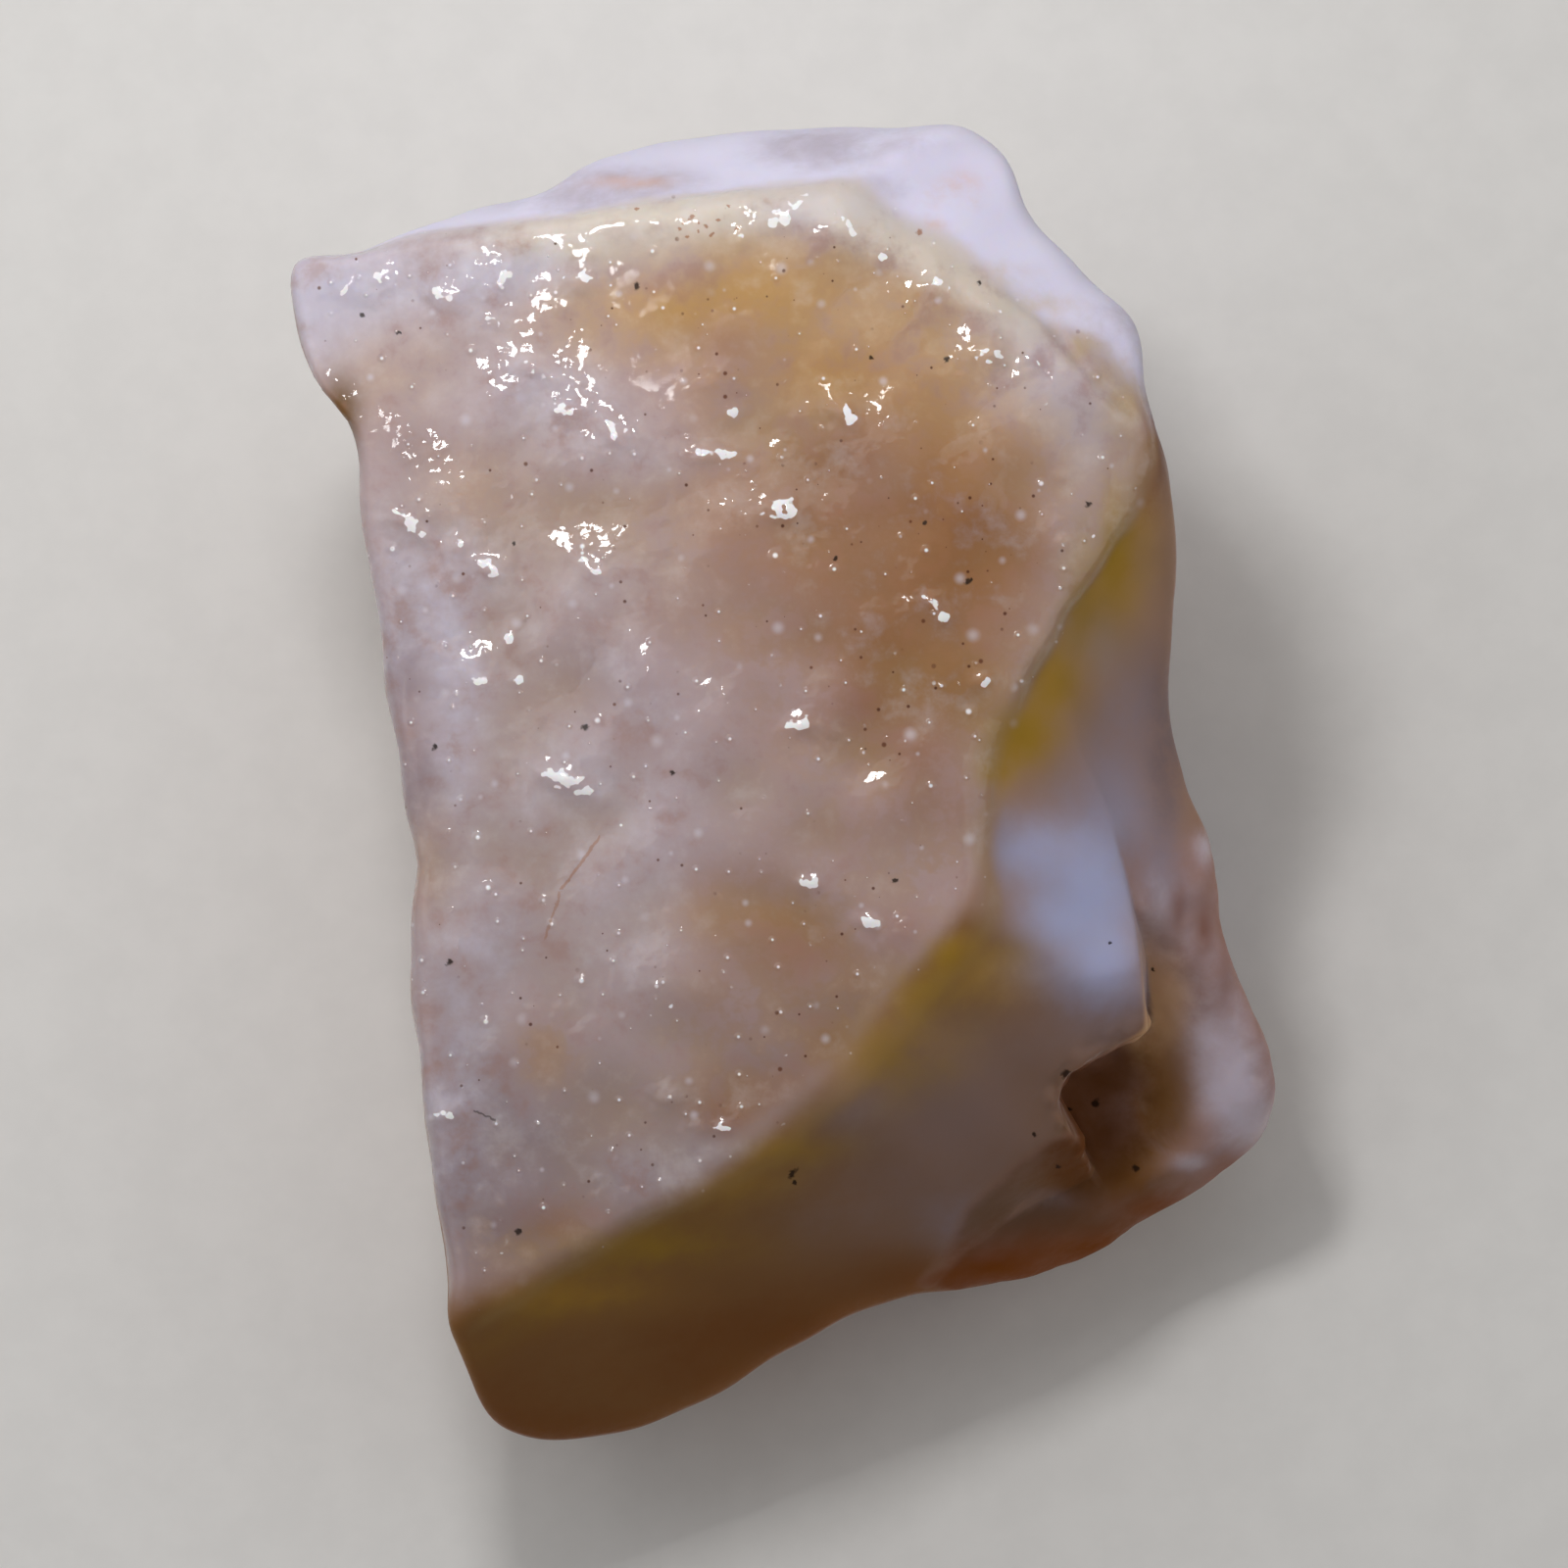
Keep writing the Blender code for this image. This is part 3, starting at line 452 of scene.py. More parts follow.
def edge_facet_gap(points, first, last, strays, slope, bulge_down, twist):
    """Distance outside a facet that leaves the broad face along the edge from first to last."""
    first = np.array(first)
    last = np.array(last)
    run = last - first
    length = np.linalg.norm(run)
    run = run / length
    outward = np.array((-run[1], run[0]))
    if outward @ (first + last) < 0:
        outward = -outward
    offset = points[:, :2] - first
    along = offset @ run
    away = offset @ outward
    stray = np.interp(along / length, np.linspace(0, 1, len(strays)), strays)
    away = away - stray * np.exp(-np.abs(away) / STRAY_FADE)
    level = points[:, 2] - broad_face_height(*((first + last) / 2))
    slope = math.radians(slope)
    down = away * math.cos(slope) - level * math.sin(slope)
    bend = bulge_down * down**2 + twist * (along - length / 2) ** 2 * np.maximum(down, 0.0)
    return away * math.sin(slope) + level * math.cos(slope) + bend / 2


def hollow_gap(points, first, last, radius):
    """How deep points lie in the sweep of a ball from first to last."""
    first = np.array(first)
    run = np.array(last) - first
    along = np.clip((points - first) @ run / (run @ run), 0.0, 1.0)
    return radius - np.linalg.norm(points - first - along[:, None] * run, axis=1)


def outline_curve():
    """A smooth curve through the outline: its angle, radius and depth, all seen from its centre."""
    knots = np.array(OUTLINE)
    ahead = np.roll(knots, -1, axis=0)
    run = np.linalg.norm(ahead - knots, axis=1)
    tangents = (ahead - np.roll(knots, 1, axis=0)) / (run + np.roll(run, 1))[:, None]
    curve = []
    for start, knot in enumerate(knots):
        end = (start + 1) % len(knots)
        for t in np.arange(OUTLINE_STEPS) / OUTLINE_STEPS:
            rise = 3 * t**2 - 2 * t**3
            leave = (t**3 - 2 * t**2 + t) * run[start] * tangents[start]
            arrive = (t**3 - t**2) * run[start] * tangents[end]
            curve.append(knot + rise * (knots[end] - knot) + leave + arrive)
    curve = np.array(curve)
    seen = curve[:, :2] - np.array(OUTLINE_CENTRE)
    angles = np.arctan2(seen[:, 1], seen[:, 0])
    order = np.argsort(angles)
    return angles[order], np.linalg.norm(seen, axis=1)[order], curve[order, 2]


def wall_gap(points, curve):
    """Distance outside the outline, which leans in below its outermost depth."""
    angles, radii, depths = curve
    x = points[:, 0] - OUTLINE_CENTRE[0]
    y = points[:, 1] - OUTLINE_CENTRE[1]
    angle = np.arctan2(y, x)
    radius = np.interp(angle, angles, radii, period=2 * math.pi)
    depth = np.interp(angle, angles, depths, period=2 * math.pi)
    under = smooth_max(depth - points[:, 2], np.zeros(len(points)), WALL_TURN)
    return (np.hypot(x, y) - radius + WALL_LEAN * under) / math.hypot(1, WALL_LEAN)


def with_facets(gap, points, facets, measure):
    for *shape, soft in facets:
        own = measure(points, *shape)
        gap = own if gap is None else smooth_max(gap, own, soft)
    return gap


def step_gap(points, walls):
    """How far points lie outside the step walls with the bay bitten out of them."""
    gap = with_facets(None, points, walls, facet_gap)
    return with_facets(gap, points * np.array((1, 1, 0)), STEP_BAY, hollow_gap)


def stone_gap(points, curve):
    """How far points lie outside the stone; negative inside it."""
    face = points[:, 2] - broad_face_height(points[:, 0], points[:, 1])
    crown = with_facets(face, points, (TOP_LEFT, TOP_RIGHT), edge_facet_gap)
    right = edge_facet_gap(points, *RIGHT_HOLLOW[:-1])
    walls = step_gap(points, STEP_WALLS)
    nose = smooth_max(edge_facet_gap(points, *PALE_NOSE[:-1]), walls, STEP_EDGE)
    valley = smooth_min(right, nose, NOSE_VALLEY)
    front = with_facets(valley, points, (LOWER_RIGHT, LOWER_LEFT), edge_facet_gap)
    ledge = with_facets(valley, points, (LOWER_LEFT,), edge_facet_gap)
    ledge = with_facets(ledge, points, (LEDGE_OUTER,) + LEDGE_FACETS, facet_gap)
    ledge = with_facets(ledge, points, LEDGE_HOLLOWS, hollow_gap)
    gap = smooth_max(crown, np.minimum(smooth_max(front, walls, STEP_EDGE), ledge), FACE_EDGE)
    gap = with_facets(gap, points, CROWN_HOLLOWS, hollow_gap)
    gap = smooth_max(gap, wall_gap(points, curve), OUTLINE_EDGE)
    gap = with_facets(gap, points, BACK_FACETS, facet_gap)
    return with_facets(gap, points, BACK_HOLLOWS, hollow_gap)


def rest_up():
    tilt = math.radians(REST_TILT)
    return np.array((0.0, math.sin(tilt), math.cos(tilt)))


def swayed(points):
    for wave, shift, phase in SWAYS:
        points = points + np.sin(points @ np.array(wave) + phase)[:, None] * np.array(shift)
    return points


def drawn_in(directions):
    """Where rays from the centre leave the stone or the flat break that it rests on."""
    curve = outline_curve()
    centre = np.array(RAY_CENTRE)
    up = rest_up()
    inside = np.zeros(len(directions))
    outside = np.full(len(directions), RAY_REACH)
    for _ in range(RAY_HALVINGS):
        middle = (inside + outside) / 2
        points = centre + middle[:, None] * directions
        gap = np.maximum(stone_gap(swayed(points), curve), -(points @ up) - REST_DEPTH)
        out = gap > 0
        outside = np.where(out, middle, outside)
        inside = np.where(out, inside, middle)
    return centre + inside[:, None] * directions


def ramp(values, low, high):
    """A smooth rise from 0 at low to 1 at high."""
    t = np.clip((values - low) / (high - low), 0.0, 1.0)
    return t * t * (3 - 2 * t)


def fade(name, values):
    return ramp(values, *FADES[name])


def band(name, values):
    middle, width = BANDS[name]
    return np.exp(-(((values - middle) / width) ** 2))


def patches(points, spots):
    """How strongly soft oval patches cover each point, taken together."""
    bare = np.ones(len(points))
    for x, y, wide, tall, strength in spots:
        spread = ((points[:, 0] - x) / wide) ** 2 + ((points[:, 1] - y) / tall) ** 2
        bare *= 1 - strength * np.exp(-spread)
    return 1 - bare


def noise_at(points, width, seed):
    """Smooth noise from -1 to 1 at each point."""
    shift = Vector((seed, seed, seed))
    return np.array([noise.noise(Vector(point) / width + shift) for point in points])


def relief(points, cover, layers):
    """The sum of layers of noise where the cover is above nothing."""
    total = np.zeros(len(points))
    covered = np.nonzero(cover > 0)[0]
    for height, width, seed in layers:
        total[covered] += height * noise_at(points[covered], width, seed)
    return total * cover


def welts(points):
    """How high the wet welts stand at each point, and how near the point is to the middle of one, where a
    painted glint goes.
    """
    total = np.zeros(len(points))
    middle = np.zeros(len(points))
    for x, y, long, wide, turn, height in WELTS:
        angle = math.radians(turn)
        across = points[:, 0] - x
        up = points[:, 1] - y
        along = (across * math.cos(angle) + up * math.sin(angle)) / long
        beside = (up * math.cos(angle) - across * math.sin(angle)) / wide
        shape = np.exp(-along ** 2 - beside ** 2)
        total += height * shape
        middle = np.maximum(middle, shape * (height > 0))
    return total, middle


def depth_below_face(points):
    return broad_face_height(points[:, 0], points[:, 1]) - points[:, 2]


def below_line(x, y, line):
    """How far places lie below a line given by its corners."""
    return np.interp(x, *zip(*line)) - y


def rind_cover(points):
    """1 on the rind of the broad face, and 0 where it gives way to the fresh breaks."""
    x, y = points.T[:2]
    lower = fade("rind line", below_line(x, y, RIND_LINE)) * fade("rind left", -x)
    return (1 - fade("rind depth", depth_below_face(points))) * (1 - lower)


def lower_step_gap(points):
    return facet_gap(points, *STEP_WALLS[1][:-1])


def ledge_cover(points):
    """1 beyond the step walls, on the ledge and in its bay, and 0 elsewhere."""
    y, z = points.T[1:]
    past_upper = fade("upper step", step_gap(points, STEP_WALLS[:1]))
    past_lower = fade("lower step", lower_step_gap(points))
    return np.maximum(past_upper, past_lower) * fade("ledge down", -y) * fade("front", z)


def crumbly_rim(points):
    """1 along the rim of the pocket, and 0 away from it."""
    y, z = points.T[1:]
    near = band("pocket rim", step_gap(points, STEP_WALLS[:1]))
    along = fade("pocket down", -y) * fade("pocket up", y)
    return near * along * fade("pocket out", z)


def per_vertex(items, key):
    """The three numbers that each of a mesh's vertices has under a key."""
    flat = np.empty(len(items) * 3)
    items.foreach_get(key, flat)
    return flat.reshape(-1, 3)


def fine_directions(mesh):
    spread = np.tan(per_vertex(mesh.vertices, "co") * math.pi / 4)
    return spread / np.linalg.norm(spread, axis=1)[:, None]


def set_places(mesh, places):
    mesh.vertices.foreach_set("co", places.ravel())
    mesh.update()


def fine_stone():
    body = bmesh.new()
    bmesh.ops.create_cube(body, size=2.0)
    bmesh.ops.subdivide_edges(body, edges=body.edges[:], cuts=FINE_CUTS, use_grid_fill=True)
    mesh = bpy.data.meshes.new("fine_stone")
    body.to_mesh(mesh)
    body.free()
    set_places(mesh, drawn_in(fine_directions(mesh)))
    places = per_vertex(mesh.vertices, "co")
    normals = per_vertex(mesh.vertex_normals, "vector")
    cover = rind_cover(places)
    free = fade("rest", places @ rest_up() + REST_DEPTH)
    lump_cover = np.clip(1 - depth_below_face(places) / RIND_FADE, 0.0, 1.0)
    ripple = patches(places, PATCHES["ripple"]) * cover
    height = relief(places, cover, RIND_RELIEF) + relief(places, ripple, RIPPLE_RELIEF)
    height += welts(places)[0] * fade("welts out", places[:, 2])
    ledge = ledge_cover(places)
    height += relief(places, (1 - cover) * free, BREAK_RELIEF) + relief(places, ledge, LEDGE_RELIEF)
    height += relief(places, crumbly_rim(places), CRUMB_RELIEF)
    raised = places + normals * height[:, None]
    raised[:, 2] += relief(places, lump_cover, LUMPS)
    set_places(mesh, raised)
    return mesh


def thinned(mesh):
    carrier = bpy.data.objects.new("fine_stone", mesh)
    bpy.context.scene.collection.objects.link(carrier)
    thin = carrier.modifiers.new("thin", "DECIMATE")
    thin.ratio = FINE_TRIANGLES / (2 * len(mesh.polygons))
    thin.use_collapse_triangulate = True
    graph = bpy.context.evaluated_depsgraph_get()
    result = bpy.data.meshes.new_from_object(carrier.evaluated_get(graph))
    bpy.data.objects.remove(carrier, do_unlink=True)
    bpy.data.meshes.remove(mesh)
    return result


def tint_covers(places, turned, spots, rind):
    """How strongly each tint covers each point: its patches and the parts of the stone it is kept to."""
    x, y, z = places.T
    breaks = 1 - rind
    ledge = ledge_cover(places)
    front = fade("front", z)
    depth = depth_below_face(places)
    border = band("border", below_line(x, y, RIND_LINE)) * fade("border left", -x)
    hidden = np.maximum(1 - fade("turn", turned), fade("back", -z)) * breaks
    uneven = crowding(places, *UNEVEN)
    past_crest = MILK_DROP * np.maximum(-z, 0.0) - below_line(x, y, CREST_LINE)
    above = fade("milk up", past_crest) * fade("milk out", z + MILK_UNEVEN * uneven)
    crest = fade("crest up", past_crest) * fade("crest left", -x) * fade("crest right", x)
    verge = band("verge", depth) * fade("verge right", x) * fade("verge down", -y)
    below = fade("lower breaks", below_line(x, y, LOWER_LINE)) * (1 - ledge)
    edge = np.exp(wall_gap(places, outline_curve()) / RIM_WIDTH) * fade("rim out", z)
    wall = band("wall", lower_step_gap(places)) * fade("wall down", -y) * front
    lime = np.clip(spots["lime"] + LIME_BAND * band("lime", depth) * below, 0.0, 1.0)
    tints = {
        "rind": rind,
        "russet": spots["russet"] * np.where(x > RUSSET_RIGHT, 1.0, rind),
        "veil": hidden * (VEIL_LEAST + (1 - VEIL_LEAST) * fade("veil", uneven)),
        "stain": hidden * fade("stain", crowding(places, *STAINED)),
        "milk": above,
        "buff": spots["buff"] * np.maximum(above, BUFF_ON_RIND * rind),
        "gild": spots["gild"],
        # Painted shade on the rind, also along its lower border where the light would catch the edge.
        "painted_falloff_shade": np.maximum(spots["painted_falloff_shade"], FALLOFF_SHADE_BORDER * border) * rind,
        # The lower faces: their honey colour, made darker as painted shade because they face away from the
        # light.
        "honey_and_painted_shade": below,
        "moss": spots["moss"] * breaks * (1 - ledge) * (1 - above) * front,
        "nose": spots["nose"] * breaks * (1 - ledge),
        "ledge": ledge,
        # Painted shade on the ledge and on the lower step wall.
        "painted_step_shade": np.maximum(spots["painted_step_shade"], STEP_SHADE_WALL * wall) * ledge,
        "lime": lime * (1 - ledge) * front,
        # Painted glow along the outline.
        "rim": spots["rim"] * edge,
        "crest": crest * rind,
        "verge": verge * front * (1 - above),
    }
    kept_to = (
        (rind, ("tan", "pale", "rose", "cream")),
        (breaks, ("ash", "shade")),
        (ledge, ("sand", "frost", "olive", "ember", "pocket")),
        (above, ("haze", "blush")),
        (below * breaks, ("mauve", "amber")),
    )
    for cover, names in kept_to:
        for name in names:
            tints[name] = spots[name] * cover
    return tints


def write_tints(mesh):
    """Stores the tint of every point of the stone, some of it painted shade and glow, its place on the broad
    face and where marks and painted glints lie.
    """
    places = per_vertex(mesh.vertices, "co")
    z = places[:, 2]
    turned = per_vertex(mesh.vertex_normals, "vector")[:, 2]
    spots = {name: patches(places, shapes) for name, shapes in PATCHES.items()}
    rind = rind_cover(places)
    tints = tint_covers(places, turned, spots, rind)
    ripple = spots["ripple"] * rind
    warm = spots["tan"] + spots["rose"]
    sway = SWAY * crowding(places, *SWAYED)
    store(mesh, "tint_thin", blended(tints, sway - LEAN))
    store(mesh, "tint_thick", blended(tints, sway + LEAN))
    store(mesh, "face_place", places)
    store(mesh, "rind", rind)
    store(mesh, "facing", fade("marks turn", turned) * fade("marks out", z))
    store(mesh, "gloss", np.maximum(rind, tints["frost"]))
    store(mesh, "dull", spots["dull"])
    store(mesh, "ripple", ripple)
    # Where the painted glints on the welts lie, kept off the dull patches.
    store(mesh, "glint", welts(places)[1] * fade("welts out", z) * (1 - spots["dull"]))
    drawn = {"big_beads_and_glints": ripple, "small_beads_and_glints": ripple, "brown_grit": warm, "red_grit": warm}
    for name, (width, seed, first, full) in CROWDS.items():
        crowd = crowding(places, width, seed) + drawn.get(name, 0.0)
        store(mesh, name, ramp(crowd, first, full) * rind)


def crowding(points, width, seed):
    """Two sizes of noise with a spread of one, which say where marks crowd together."""
    values = noise_at(points, width, seed) + 0.5 * noise_at(points, width / 2, seed)
    return values / values.std()


def blended(tints, sway):
    """The tints laid over each other in their order, with edges that the sway moves in and out."""
    colour = np.tile(BREAK_BASE[:3], (len(sway), 1))
    for name, screen_tint, ragged, strength in TINTS:
        amount = tints[name]
        share = np.clip((amount + RAGGEDNESS * ragged * amount * (1 - amount) * sway) * strength, 0.0, 1.0)
        colour += share[:, None] * (np.array(linear(*screen_tint)[:3]) - colour)
    return colour


def store(mesh, name, values):
    kind, key = ("FLOAT", "value") if values.ndim == 1 else ("FLOAT_VECTOR", "vector")
    layer = mesh.attributes.new(name, kind, "POINT")
    layer.data.foreach_set(key, values.astype(np.float32).ravel())


def lay_down(mesh):
    """Turns the stone to how it lies on z = 0 about the middle, in metres, and returns the move."""
    tilt = Matrix.Rotation(math.radians(REST_TILT), 4, "X")
    turned = per_vertex(mesh.vertices, "co") @ np.array(tilt.to_3x3()).T
    middle = (turned.min(axis=0) + turned.max(axis=0)) / 2
    shift = Vector((-middle[0], -middle[1], REST_DEPTH))
    move = Matrix.Scale(MM, 4) @ Matrix.Translation(shift) @ tilt
    mesh.transform(move)
    return move


class Shader:
    """Short calls for building a node tree."""

    def __init__(self, material):
        material.use_nodes = True
        self.tree = material.node_tree
        self.surface = self.tree.nodes["Principled BSDF"]

    def new(self, kind):
        return self.tree.nodes.new("ShaderNode" + kind)

    def fed(self, node, values, output=0):
        """Links or sets what goes into a node, by name or number, and returns one of its outputs."""
        for key, value in values.items():
            if isinstance(value, bpy.types.NodeSocket):
                self.tree.links.new(value, node.inputs[key])
            else:
                node.inputs[key].default_value = value
        return node.outputs[output]

    def attribute(self, name, output="Fac"):
        node = self.new("Attribute")
        node.attribute_name = name
        return node.outputs[output]

    def math(self, operation, *values, clamp=False):
        node = self.new("Math")
        node.operation = operation
        node.use_clamp = clamp
        return self.fed(node, dict(enumerate(values)))

    def vector(self, operation, *values, output="Vector"):
        node = self.new("VectorMath")
        node.operation = operation
        return self.fed(node, dict(enumerate(values)), output)

    def noise(self, place, scale, detail=2.0, roughness=0.5, distortion=0.0):
        names = ("Vector", "Scale", "Detail", "Roughness", "Distortion")
        numbers = (place, scale, detail, roughness, distortion)
        return self.fed(self.new("TexNoise"), dict(zip(names, numbers)), "Fac")

    def round_marks(self, place, scale, size):
        """How far a place is from the nearest of many strewn marks, in sizes of that mark."""
        node = self.new("TexVoronoi")
        node.voronoi_dimensions = "2D"
        apart = self.fed(node, {"Vector": place, "Scale": scale}, "Distance")
        chance = self.fed(self.new("SeparateXYZ"), {0: node.outputs["Color"]}, "X")
        own_size = self.math("MULTIPLY_ADD", chance, size * MARK_SPREAD, size * MARK_LEAST)
        return self.math("DIVIDE", apart, own_size)

    def nearest(self, place, spots):
        """How far a flattened place is from the nearest of some spots, in radii of that spot."""
        least = None
        for x, y, radius in spots:
            apart = self.vector("DISTANCE", place, (x, y, 0.0), output="Value")
            radii = self.math("DIVIDE", apart, radius)
            least = radii if least is None else self.math("MINIMUM", least, radii)
        return least

    def along(self, place, start, direction):
        """How far a place lies from the start in a direction on the broad face."""
        distance = self.vector("DOT_PRODUCT", place, (*direction, 0.0), output="Value")
        return self.math("SUBTRACT", distance, start[0] * direction[0] + start[1] * direction[1])

    def stroke(self, place, first, last, width, strength):
        """A thin mark from one place on the broad face to another."""
        length = math.dist(first, last)
        run = ((last[0] - first[0]) / length, (last[1] - first[1]) / length)
        down = self.along(place, first, run)
        side = self.math("ABSOLUTE", self.along(place, first, (-run[1], run[0])))
        end = self.ramp(down, length - width, length, 1.0, 0.0)
        mark = self.math("MULTIPLY", self.ramp(down, 0.0, width), end)
        return self.math("MULTIPLY", mark, self.ramp(side, width * STROKE_CORE, width, strength, 0.0))

    def ramp(self, value, low, high, bottom=0.0, top=1.0):
        node = self.new("MapRange")
        node.interpolation_type = "SMOOTHSTEP"
        names = ("Value", "From Min", "From Max", "To Min", "To Max")
        return self.fed(node, dict(zip(names, (value, low, high, bottom, top))), "Result")

    def mix(self, amount, under, over):
        node = self.new("Mix")
        node.data_type = "RGBA"
        return self.fed(node, {"Factor": amount, 6: under, 7: over}, 2)


def linear(red, green, blue):
    """A linear colour from screen values out of 255."""
    def one(value):
        value = value / 255
        return value / 12.92 if value <= 0.04045 else ((value + 0.055) / 1.055) ** 2.4
    return (one(red), one(green), one(blue), 1.0)


# How far the edges of the tints sway in and out: broadly, between thin and thick, and for a ragged tint.
SWAY = 0.05
LEAN = 0.12
RAGGEDNESS = 16
BREAK_BASE = linear(166, 132, 112)
# Each tint in the order it is laid on: its colour, how ragged its edge is and its strength.
TINTS = (
    # Honey of the lower faces, darkened as painted shade.
    ("honey_and_painted_shade", (138, 99, 60), 0.2, 1.0),
    ("mauve", (146, 120, 112), 0.2, 1.0),
    ("amber", (124, 76, 36), 0.2, 1.0),
    ("veil", (194, 174, 172), 0.4, 0.9),
    ("stain", (156, 112, 76), 0.5, 0.55),
    ("milk", (228, 224, 246), 0.2, 1.0),
    ("haze", (190, 180, 194), 0.6, 0.9),
    ("blush", (222, 176, 152), 0.6, 0.8),
    ("moss", (202, 156, 50), 0.2, 0.9),
    ("ledge", (168, 132, 122), 0.3, 1.0),
    ("ash", (156, 144, 158), 0.2, 0.9),
    ("nose", (187, 193, 231), 0.1, 1.0),
    # Painted glow of the thin edges.
    ("rim", (190, 122, 66), 0.3, 0.4),
    # Painted shade on the ledge and the lower step wall.
    ("painted_step_shade", (115, 86, 66), 0.3, 1.0),
    ("sand", (228, 184, 138), 0.4, 0.9),
    ("olive", (168, 118, 54), 0.4, 0.9),
    ("frost", (212, 202, 218), 0.4, 0.9),
    # Partly the stone's own orange, partly painted glow of the thin lower edge.
    ("ember", (128, 66, 8), 0.2, 1.0),
    ("pocket", (108, 63, 25), 0.4, 1.0),
    # Painted shade on the right edge of the breaks.
    ("shade", (108, 96, 104), 0.3, 1.0),
    ("rind", (185, 165, 167), 0.2, 1.0),
    ("cream", (226, 216, 192), 0.6, 0.9),
    # Painted shade of the rind.
    ("painted_falloff_shade", (138, 124, 132), 0.4, 0.8),
    ("rose", (166, 112, 84), 0.5, 0.8),
    ("pale", (206, 200, 216), 0.6, 0.95),
    ("tan", (192, 146, 62), 0.5, 1.0),
    ("russet", (146, 98, 66), 0.6, 0.95),
    ("buff", (204, 176, 128), 0.5, 0.7),
    ("crest", (226, 217, 206), 0.6, 0.65),
    ("verge", (166, 132, 84), 0.5, 0.55),
    ("gild", (112, 78, 30), 0.3, 1.0),
    ("lime", (168, 132, 42), 0.3, 0.85),
)
SPOT_WHITE = linear(222, 216, 226)
STAIN_BROWN = linear(160, 110, 84)
# Near white of the painted glints on the beads and the welts.
GLINT_WHITE = linear(255, 251, 255)
FRECKLE_RUST = linear(160, 100, 52)
SPECK_BROWN = linear(104, 56, 34)
SPECK_RED = linear(84, 36, 18)
SPECK_DARK = linear(34, 18, 10)
# Noises over the stone: scale, detail, roughness and distortion.
MIDDLING = (1.6, 4.0, 0.6, 0.1)
FINE = (7.0, 2.0, 0.6)
GRAIN = (5.0, 1.0)
SWELL = (3.0, 1.0)
# The mottling over which the thin tint gives way to the thick one.
THICKENING = (0.26, 0.74)
# Clouds of the rind: the mottling at which they begin and end, how strong they are there, and their colour.
CLOUDS = ((0.46, 0.76, 0.0, 0.24, SPOT_WHITE), (0.28, 0.48, 0.3, 0.0, STAIN_BROWN))
# The least share of its size that a strewn mark has, and how much more it can have.
MARK_LEAST = 0.35
MARK_SPREAD = 1.1
# The share of a stroke's half width over which it is full.
STROKE_CORE = 0.4
# Soft pale dots, partly whitish spots of the stone and partly painted blurred glints: how many in a
# millimetre, their size and how strong they are.
DOTS = (0.95, 0.11, 0.48)
# Strewn marks, the beads with painted glints at their middles: where they lie, how many in a millimetre and
# their size.
BEADS = (("big_beads_and_glints", 0.65, 0.03), ("small_beads_and_glints", 1.5, 0.042))
GRIT = (("brown_grit", 1.2, 0.046, SPECK_BROWN), ("red_grit", 1.9, 0.056, SPECK_RED))
# How the painted glints of the beads and other marks fade outwards, and how beads bulge: where from and to
# in sizes of the mark, and how strongly.
BEAD_GLINT_FADE = (0.3, 1.0, 0.95, 0.0)
GRIT_FADE = (0.4, 1.0, 0.85, 0.0)
MARK_FADE = (0.5, 1.2)
BEAD_DOME = (0.0, 2.5, 1.0, 0.0)
# Single marks: spots, strokes, how dark the spots are and their colour. Fine noise shifts them to fray them.
MARKS = ((FRECKLES, CRACKS, 0.7, FRECKLE_RUST), (SPECKS, SCRATCHES, 0.9, SPECK_DARK))
FRAYING = (0.2, 0.14, 0.0)
# Painted glints on the welts: how the grain tears them, from where to where they rise and how strong they
# are.
TEARING = (2.4, -1.2)
GLINT = (0.72, 0.84, 0.0, 0.97)
# The settings of the surface, the fades of its roughness and gloss, and what its wet bumps are made of.
SURFACE = {
    "Specular IOR Level": 0.04,
    "IOR": 1.45,
    "Coat Roughness": 0.03,
    "Subsurface Weight": 0.5,
    "Subsurface Scale": 0.0006,
    "Subsurface Radius": (1.0, 0.62, 0.38),
}
ROUGHNESS = (0.3, 0.7, 0.45, 0.6)
GLOSS = (0.2, 0.8)
SWELL_SHARE = 2.6
GRAIN_SHARE = 0.6
FINE_SHARE = 0.12
WET_LEAST = 0.22
BUMP = {"Strength": 1.0, "Distance": 0.000038}
# How much of the coat's bumps the surface under it has too.
UNDER_COAT = 0.3


def rind_marks(shader, colour, place):
    """Lays dots, the painted glints of the beads and grit on the colour, and returns it with the beads and
    where they are.
    """
    count, size, strength = DOTS
    # Soft pale dots: partly whitish spots, partly painted blurred glints.
    dot = shader.ramp(shader.round_marks(place, count, size), 0.0, 1.0, strength, 0.0)
    colour = shader.mix(shader.math("MULTIPLY", dot, shader.attribute("dots")), colour, SPOT_WHITE)
    beads = []
    for name, scale, size in BEADS:
        bead = shader.round_marks(place, scale, size)
        present = shader.attribute(name)
        beads.append((bead, present))
        # Painted glint: the middle of each bead painted near white.
        bead_glint = shader.math("MULTIPLY", shader.ramp(bead, *BEAD_GLINT_FADE), present)
        colour = shader.mix(bead_glint, colour, GLINT_WHITE)
    for name, scale, size, tint in GRIT:
        dust = shader.ramp(shader.round_marks(place, scale, size), *GRIT_FADE)
        colour = shader.mix(shader.math("MULTIPLY", dust, shader.attribute(name)), colour, tint)
    return colour, beads


def single_marks(shader, colour, place, fine):
    """Lays the freckles, cracks, specks and scratches on the colour."""
    flat = shader.vector("MULTIPLY", place, (1.0, 1.0, 0.0))
    frayed = shader.vector("MULTIPLY_ADD", shader.math("SUBTRACT", fine, 0.5), FRAYING, flat)
    facing_out = shader.attribute("facing")
    for spots, strokes, darkness, tint in MARKS:
        mark = shader.ramp(shader.nearest(frayed, spots), *MARK_FADE, darkness, 0.0)
        for stroke in strokes:
            mark = shader.math("MAXIMUM", mark, shader.stroke(frayed, *stroke))
        colour = shader.mix(shader.math("MULTIPLY", mark, facing_out), colour, tint)
    return colour


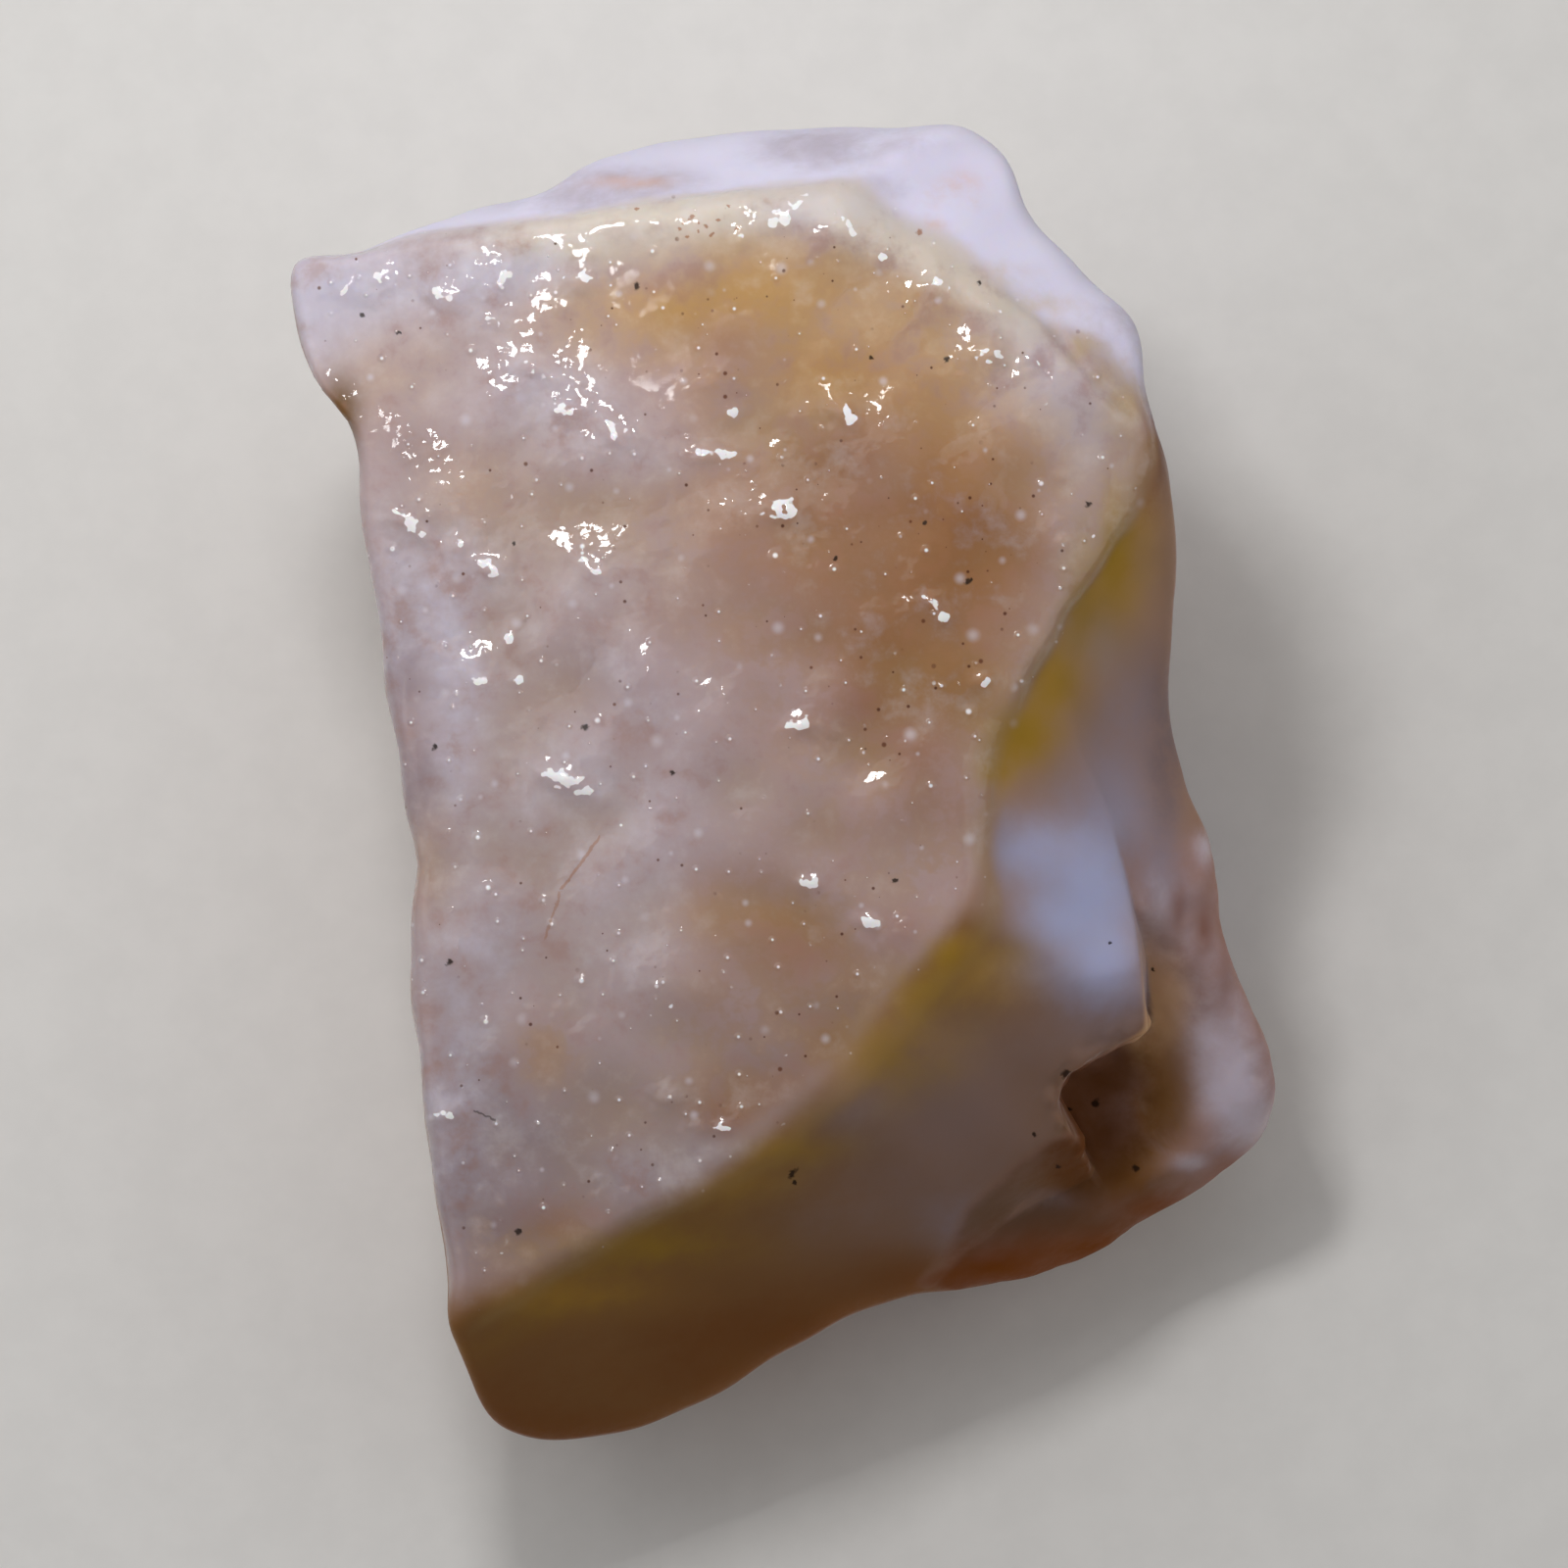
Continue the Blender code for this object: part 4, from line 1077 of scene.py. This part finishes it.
def opal_material():
    material = bpy.data.materials.new("opal")
    shader = Shader(material)
    place = shader.attribute("face_place", "Vector")
    rind = shader.attribute("rind")
    middling = shader.noise(place, *MIDDLING)
    fine = shader.noise(place, *FINE)
    grain = shader.noise(place, *GRAIN)
    thin_tint = shader.attribute("tint_thin", "Vector")
    thick_tint = shader.attribute("tint_thick", "Vector")
    colour = shader.mix(shader.ramp(middling, *THICKENING), thin_tint, thick_tint)
    for *fading, tint in CLOUDS:
        cloud = shader.math("MULTIPLY", shader.ramp(middling, *fading), rind)
        colour = shader.mix(cloud, colour, tint)
    colour, beads = rind_marks(shader, colour, place)
    # Painted glints: the middles of the welts painted near white, torn by the grain.
    torn = shader.math("MULTIPLY_ADD", grain, *TEARING)
    glint = shader.ramp(shader.math("ADD", shader.attribute("glint"), torn), *GLINT)
    colour = shader.mix(shader.math("MULTIPLY", glint, rind), colour, GLINT_WHITE)
    colour = single_marks(shader, colour, place, fine)
    gloss = shader.ramp(shader.attribute("gloss"), *GLOSS)
    coat = shader.math("SUBTRACT", gloss, shader.attribute("dull"), clamp=True)

    swell = shader.math("MULTIPLY", grain, GRAIN_SHARE)
    swell = shader.math("MULTIPLY_ADD", shader.noise(place, *SWELL), SWELL_SHARE, swell)
    wetness = shader.math("ADD", shader.attribute("ripple"), WET_LEAST)
    wet = shader.math("MULTIPLY", swell, wetness)
    for bead, present in beads:
        wet = shader.math("MULTIPLY_ADD", shader.ramp(bead, *BEAD_DOME), present, wet)
    wet = shader.math("MULTIPLY_ADD", wet, gloss, shader.math("MULTIPLY", fine, FINE_SHARE))
    bumpy = shader.fed(shader.new("Bump"), {**BUMP, "Height": wet}, "Normal")
    plain = shader.new("NewGeometry").outputs["Normal"]
    calm = shader.new("Mix")
    calm.data_type = "VECTOR"
    calmer = shader.fed(calm, {"Factor": UNDER_COAT, 4: plain, 5: bumpy}, 1)
    roughness = shader.ramp(fine, *ROUGHNESS)
    shader.fed(shader.surface, {
        **SURFACE,
        "Base Color": colour,
        "Roughness": roughness,
        "Coat Weight": coat,
        "Coat Normal": bumpy,
        "Normal": calmer,
    })
    return material


def make_stone():
    mesh = thinned(fine_stone())
    write_tints(mesh)
    move = lay_down(mesh)
    mesh.shade_smooth()
    mesh.materials.clear()
    mesh.materials.append(opal_material())
    stone = bpy.data.objects.new("opal_stone", mesh)
    bpy.context.scene.collection.objects.link(stone)
    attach(stone, "root")
    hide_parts("rough_opal")
    return move


# The floor: its two colours, size in metres, and the scale, detail, fade and roughness of its paper.
FLOOR_COLOUR = linear(232, 230, 227)
FLOOR_LIGHTER = linear(236, 234, 231)
FLOOR_SIZE = 1.2
PAPER_GRAIN = (900.0, 3.0, 0.6)
PAPER_FADE = (0.3, 0.7)
PAPER_ROUGHNESS = (0.75, 0.9)


def make_floor():
    body = bmesh.new()
    bmesh.ops.create_grid(body, x_segments=2, y_segments=2, size=FLOOR_SIZE / 2)
    mesh = bpy.data.meshes.new("floor")
    body.to_mesh(mesh)
    body.free()
    material = bpy.data.materials.new("floor_paper")
    shader = Shader(material)
    coordinates = shader.new("TexCoord").outputs["Object"]
    grain = shader.noise(coordinates, *PAPER_GRAIN)
    paper = shader.mix(shader.ramp(grain, *PAPER_FADE), FLOOR_COLOUR, FLOOR_LIGHTER)
    roughness = shader.ramp(grain, *PAPER_FADE, *PAPER_ROUGHNESS)
    shader.fed(shader.surface, {"Base Color": paper, "Roughness": roughness})
    mesh.materials.append(material)
    floor = bpy.data.objects.new("floor", mesh)
    bpy.context.scene.collection.objects.link(floor)


# Lights: place in millimetres in the frame of the broad face, size, strength in watts and colour.
LIGHTS = (
    ("key", (-13, 28, 30), (70, 46), 0.0074, (1.0, 0.99, 0.98)),
    ("spark", (-12, 32, 50), (12, 9), 0.011, (1.0, 1.0, 1.0)),
    ("fill_left", (-70, 10, 60), (80, 80), 0.008, (0.92, 0.95, 1.0)),
    ("fill_right", (64, 4, 52), (70, 70), 0.0086, (1.0, 0.99, 0.97)),
)
WORLD_COLOUR = (1.0, 0.99, 0.98, 1.0)
WORLD_STRENGTH = 0.2
# The height over the middle of the stone that the lights and the camera aim at.
AIM_HEIGHT = 2.0


def aim(thing, target):
    """Turns a lamp or camera to look at a place."""
    thing.rotation_euler = (target - thing.location).to_track_quat("-Z", "Y").to_euler()
    bpy.context.scene.collection.objects.link(thing)


def make_lights(move):
    target = move @ Vector((0, 0, AIM_HEIGHT))
    for name, place, size, watts, colour in LIGHTS:
        data = bpy.data.lights.new(name, "AREA")
        data.shape = "RECTANGLE"
        data.size = size[0] * MM
        data.size_y = size[1] * MM
        data.energy = watts
        data.color = colour
        lamp = bpy.data.objects.new(name, data)
        lamp.location = move @ Vector(place)
        aim(lamp, target)
    world = bpy.data.worlds.new("soft_room")
    world.use_nodes = True
    sky = world.node_tree.nodes["Background"]
    sky.inputs["Color"].default_value = WORLD_COLOUR
    sky.inputs["Strength"].default_value = WORLD_STRENGTH
    bpy.context.scene.world = world


# The photograph: its width in millimetres at the stone, and how far off the camera stands.
VIEW_WIDTH = 26.23
VIEW_DISTANCE = 600.0
SENSOR = 36.0
CLIPPING = (0.01, 10.0)


def make_camera(move):
    data = bpy.data.cameras.new("camera")
    data.sensor_width = SENSOR
    data.lens = SENSOR * VIEW_DISTANCE / VIEW_WIDTH
    data.clip_start, data.clip_end = CLIPPING
    camera = bpy.data.objects.new("camera", data)
    camera.location = move @ Vector((0, 0, AIM_HEIGHT + VIEW_DISTANCE))
    aim(camera, move @ Vector((0, 0, AIM_HEIGHT)))
    bpy.context.scene.camera = camera


def main():
    move = make_stone()
    make_floor()
    make_lights(move)
    make_camera(move)
    view = bpy.context.scene.view_settings
    view.view_transform = "Standard"
    view.look = "None"


main()
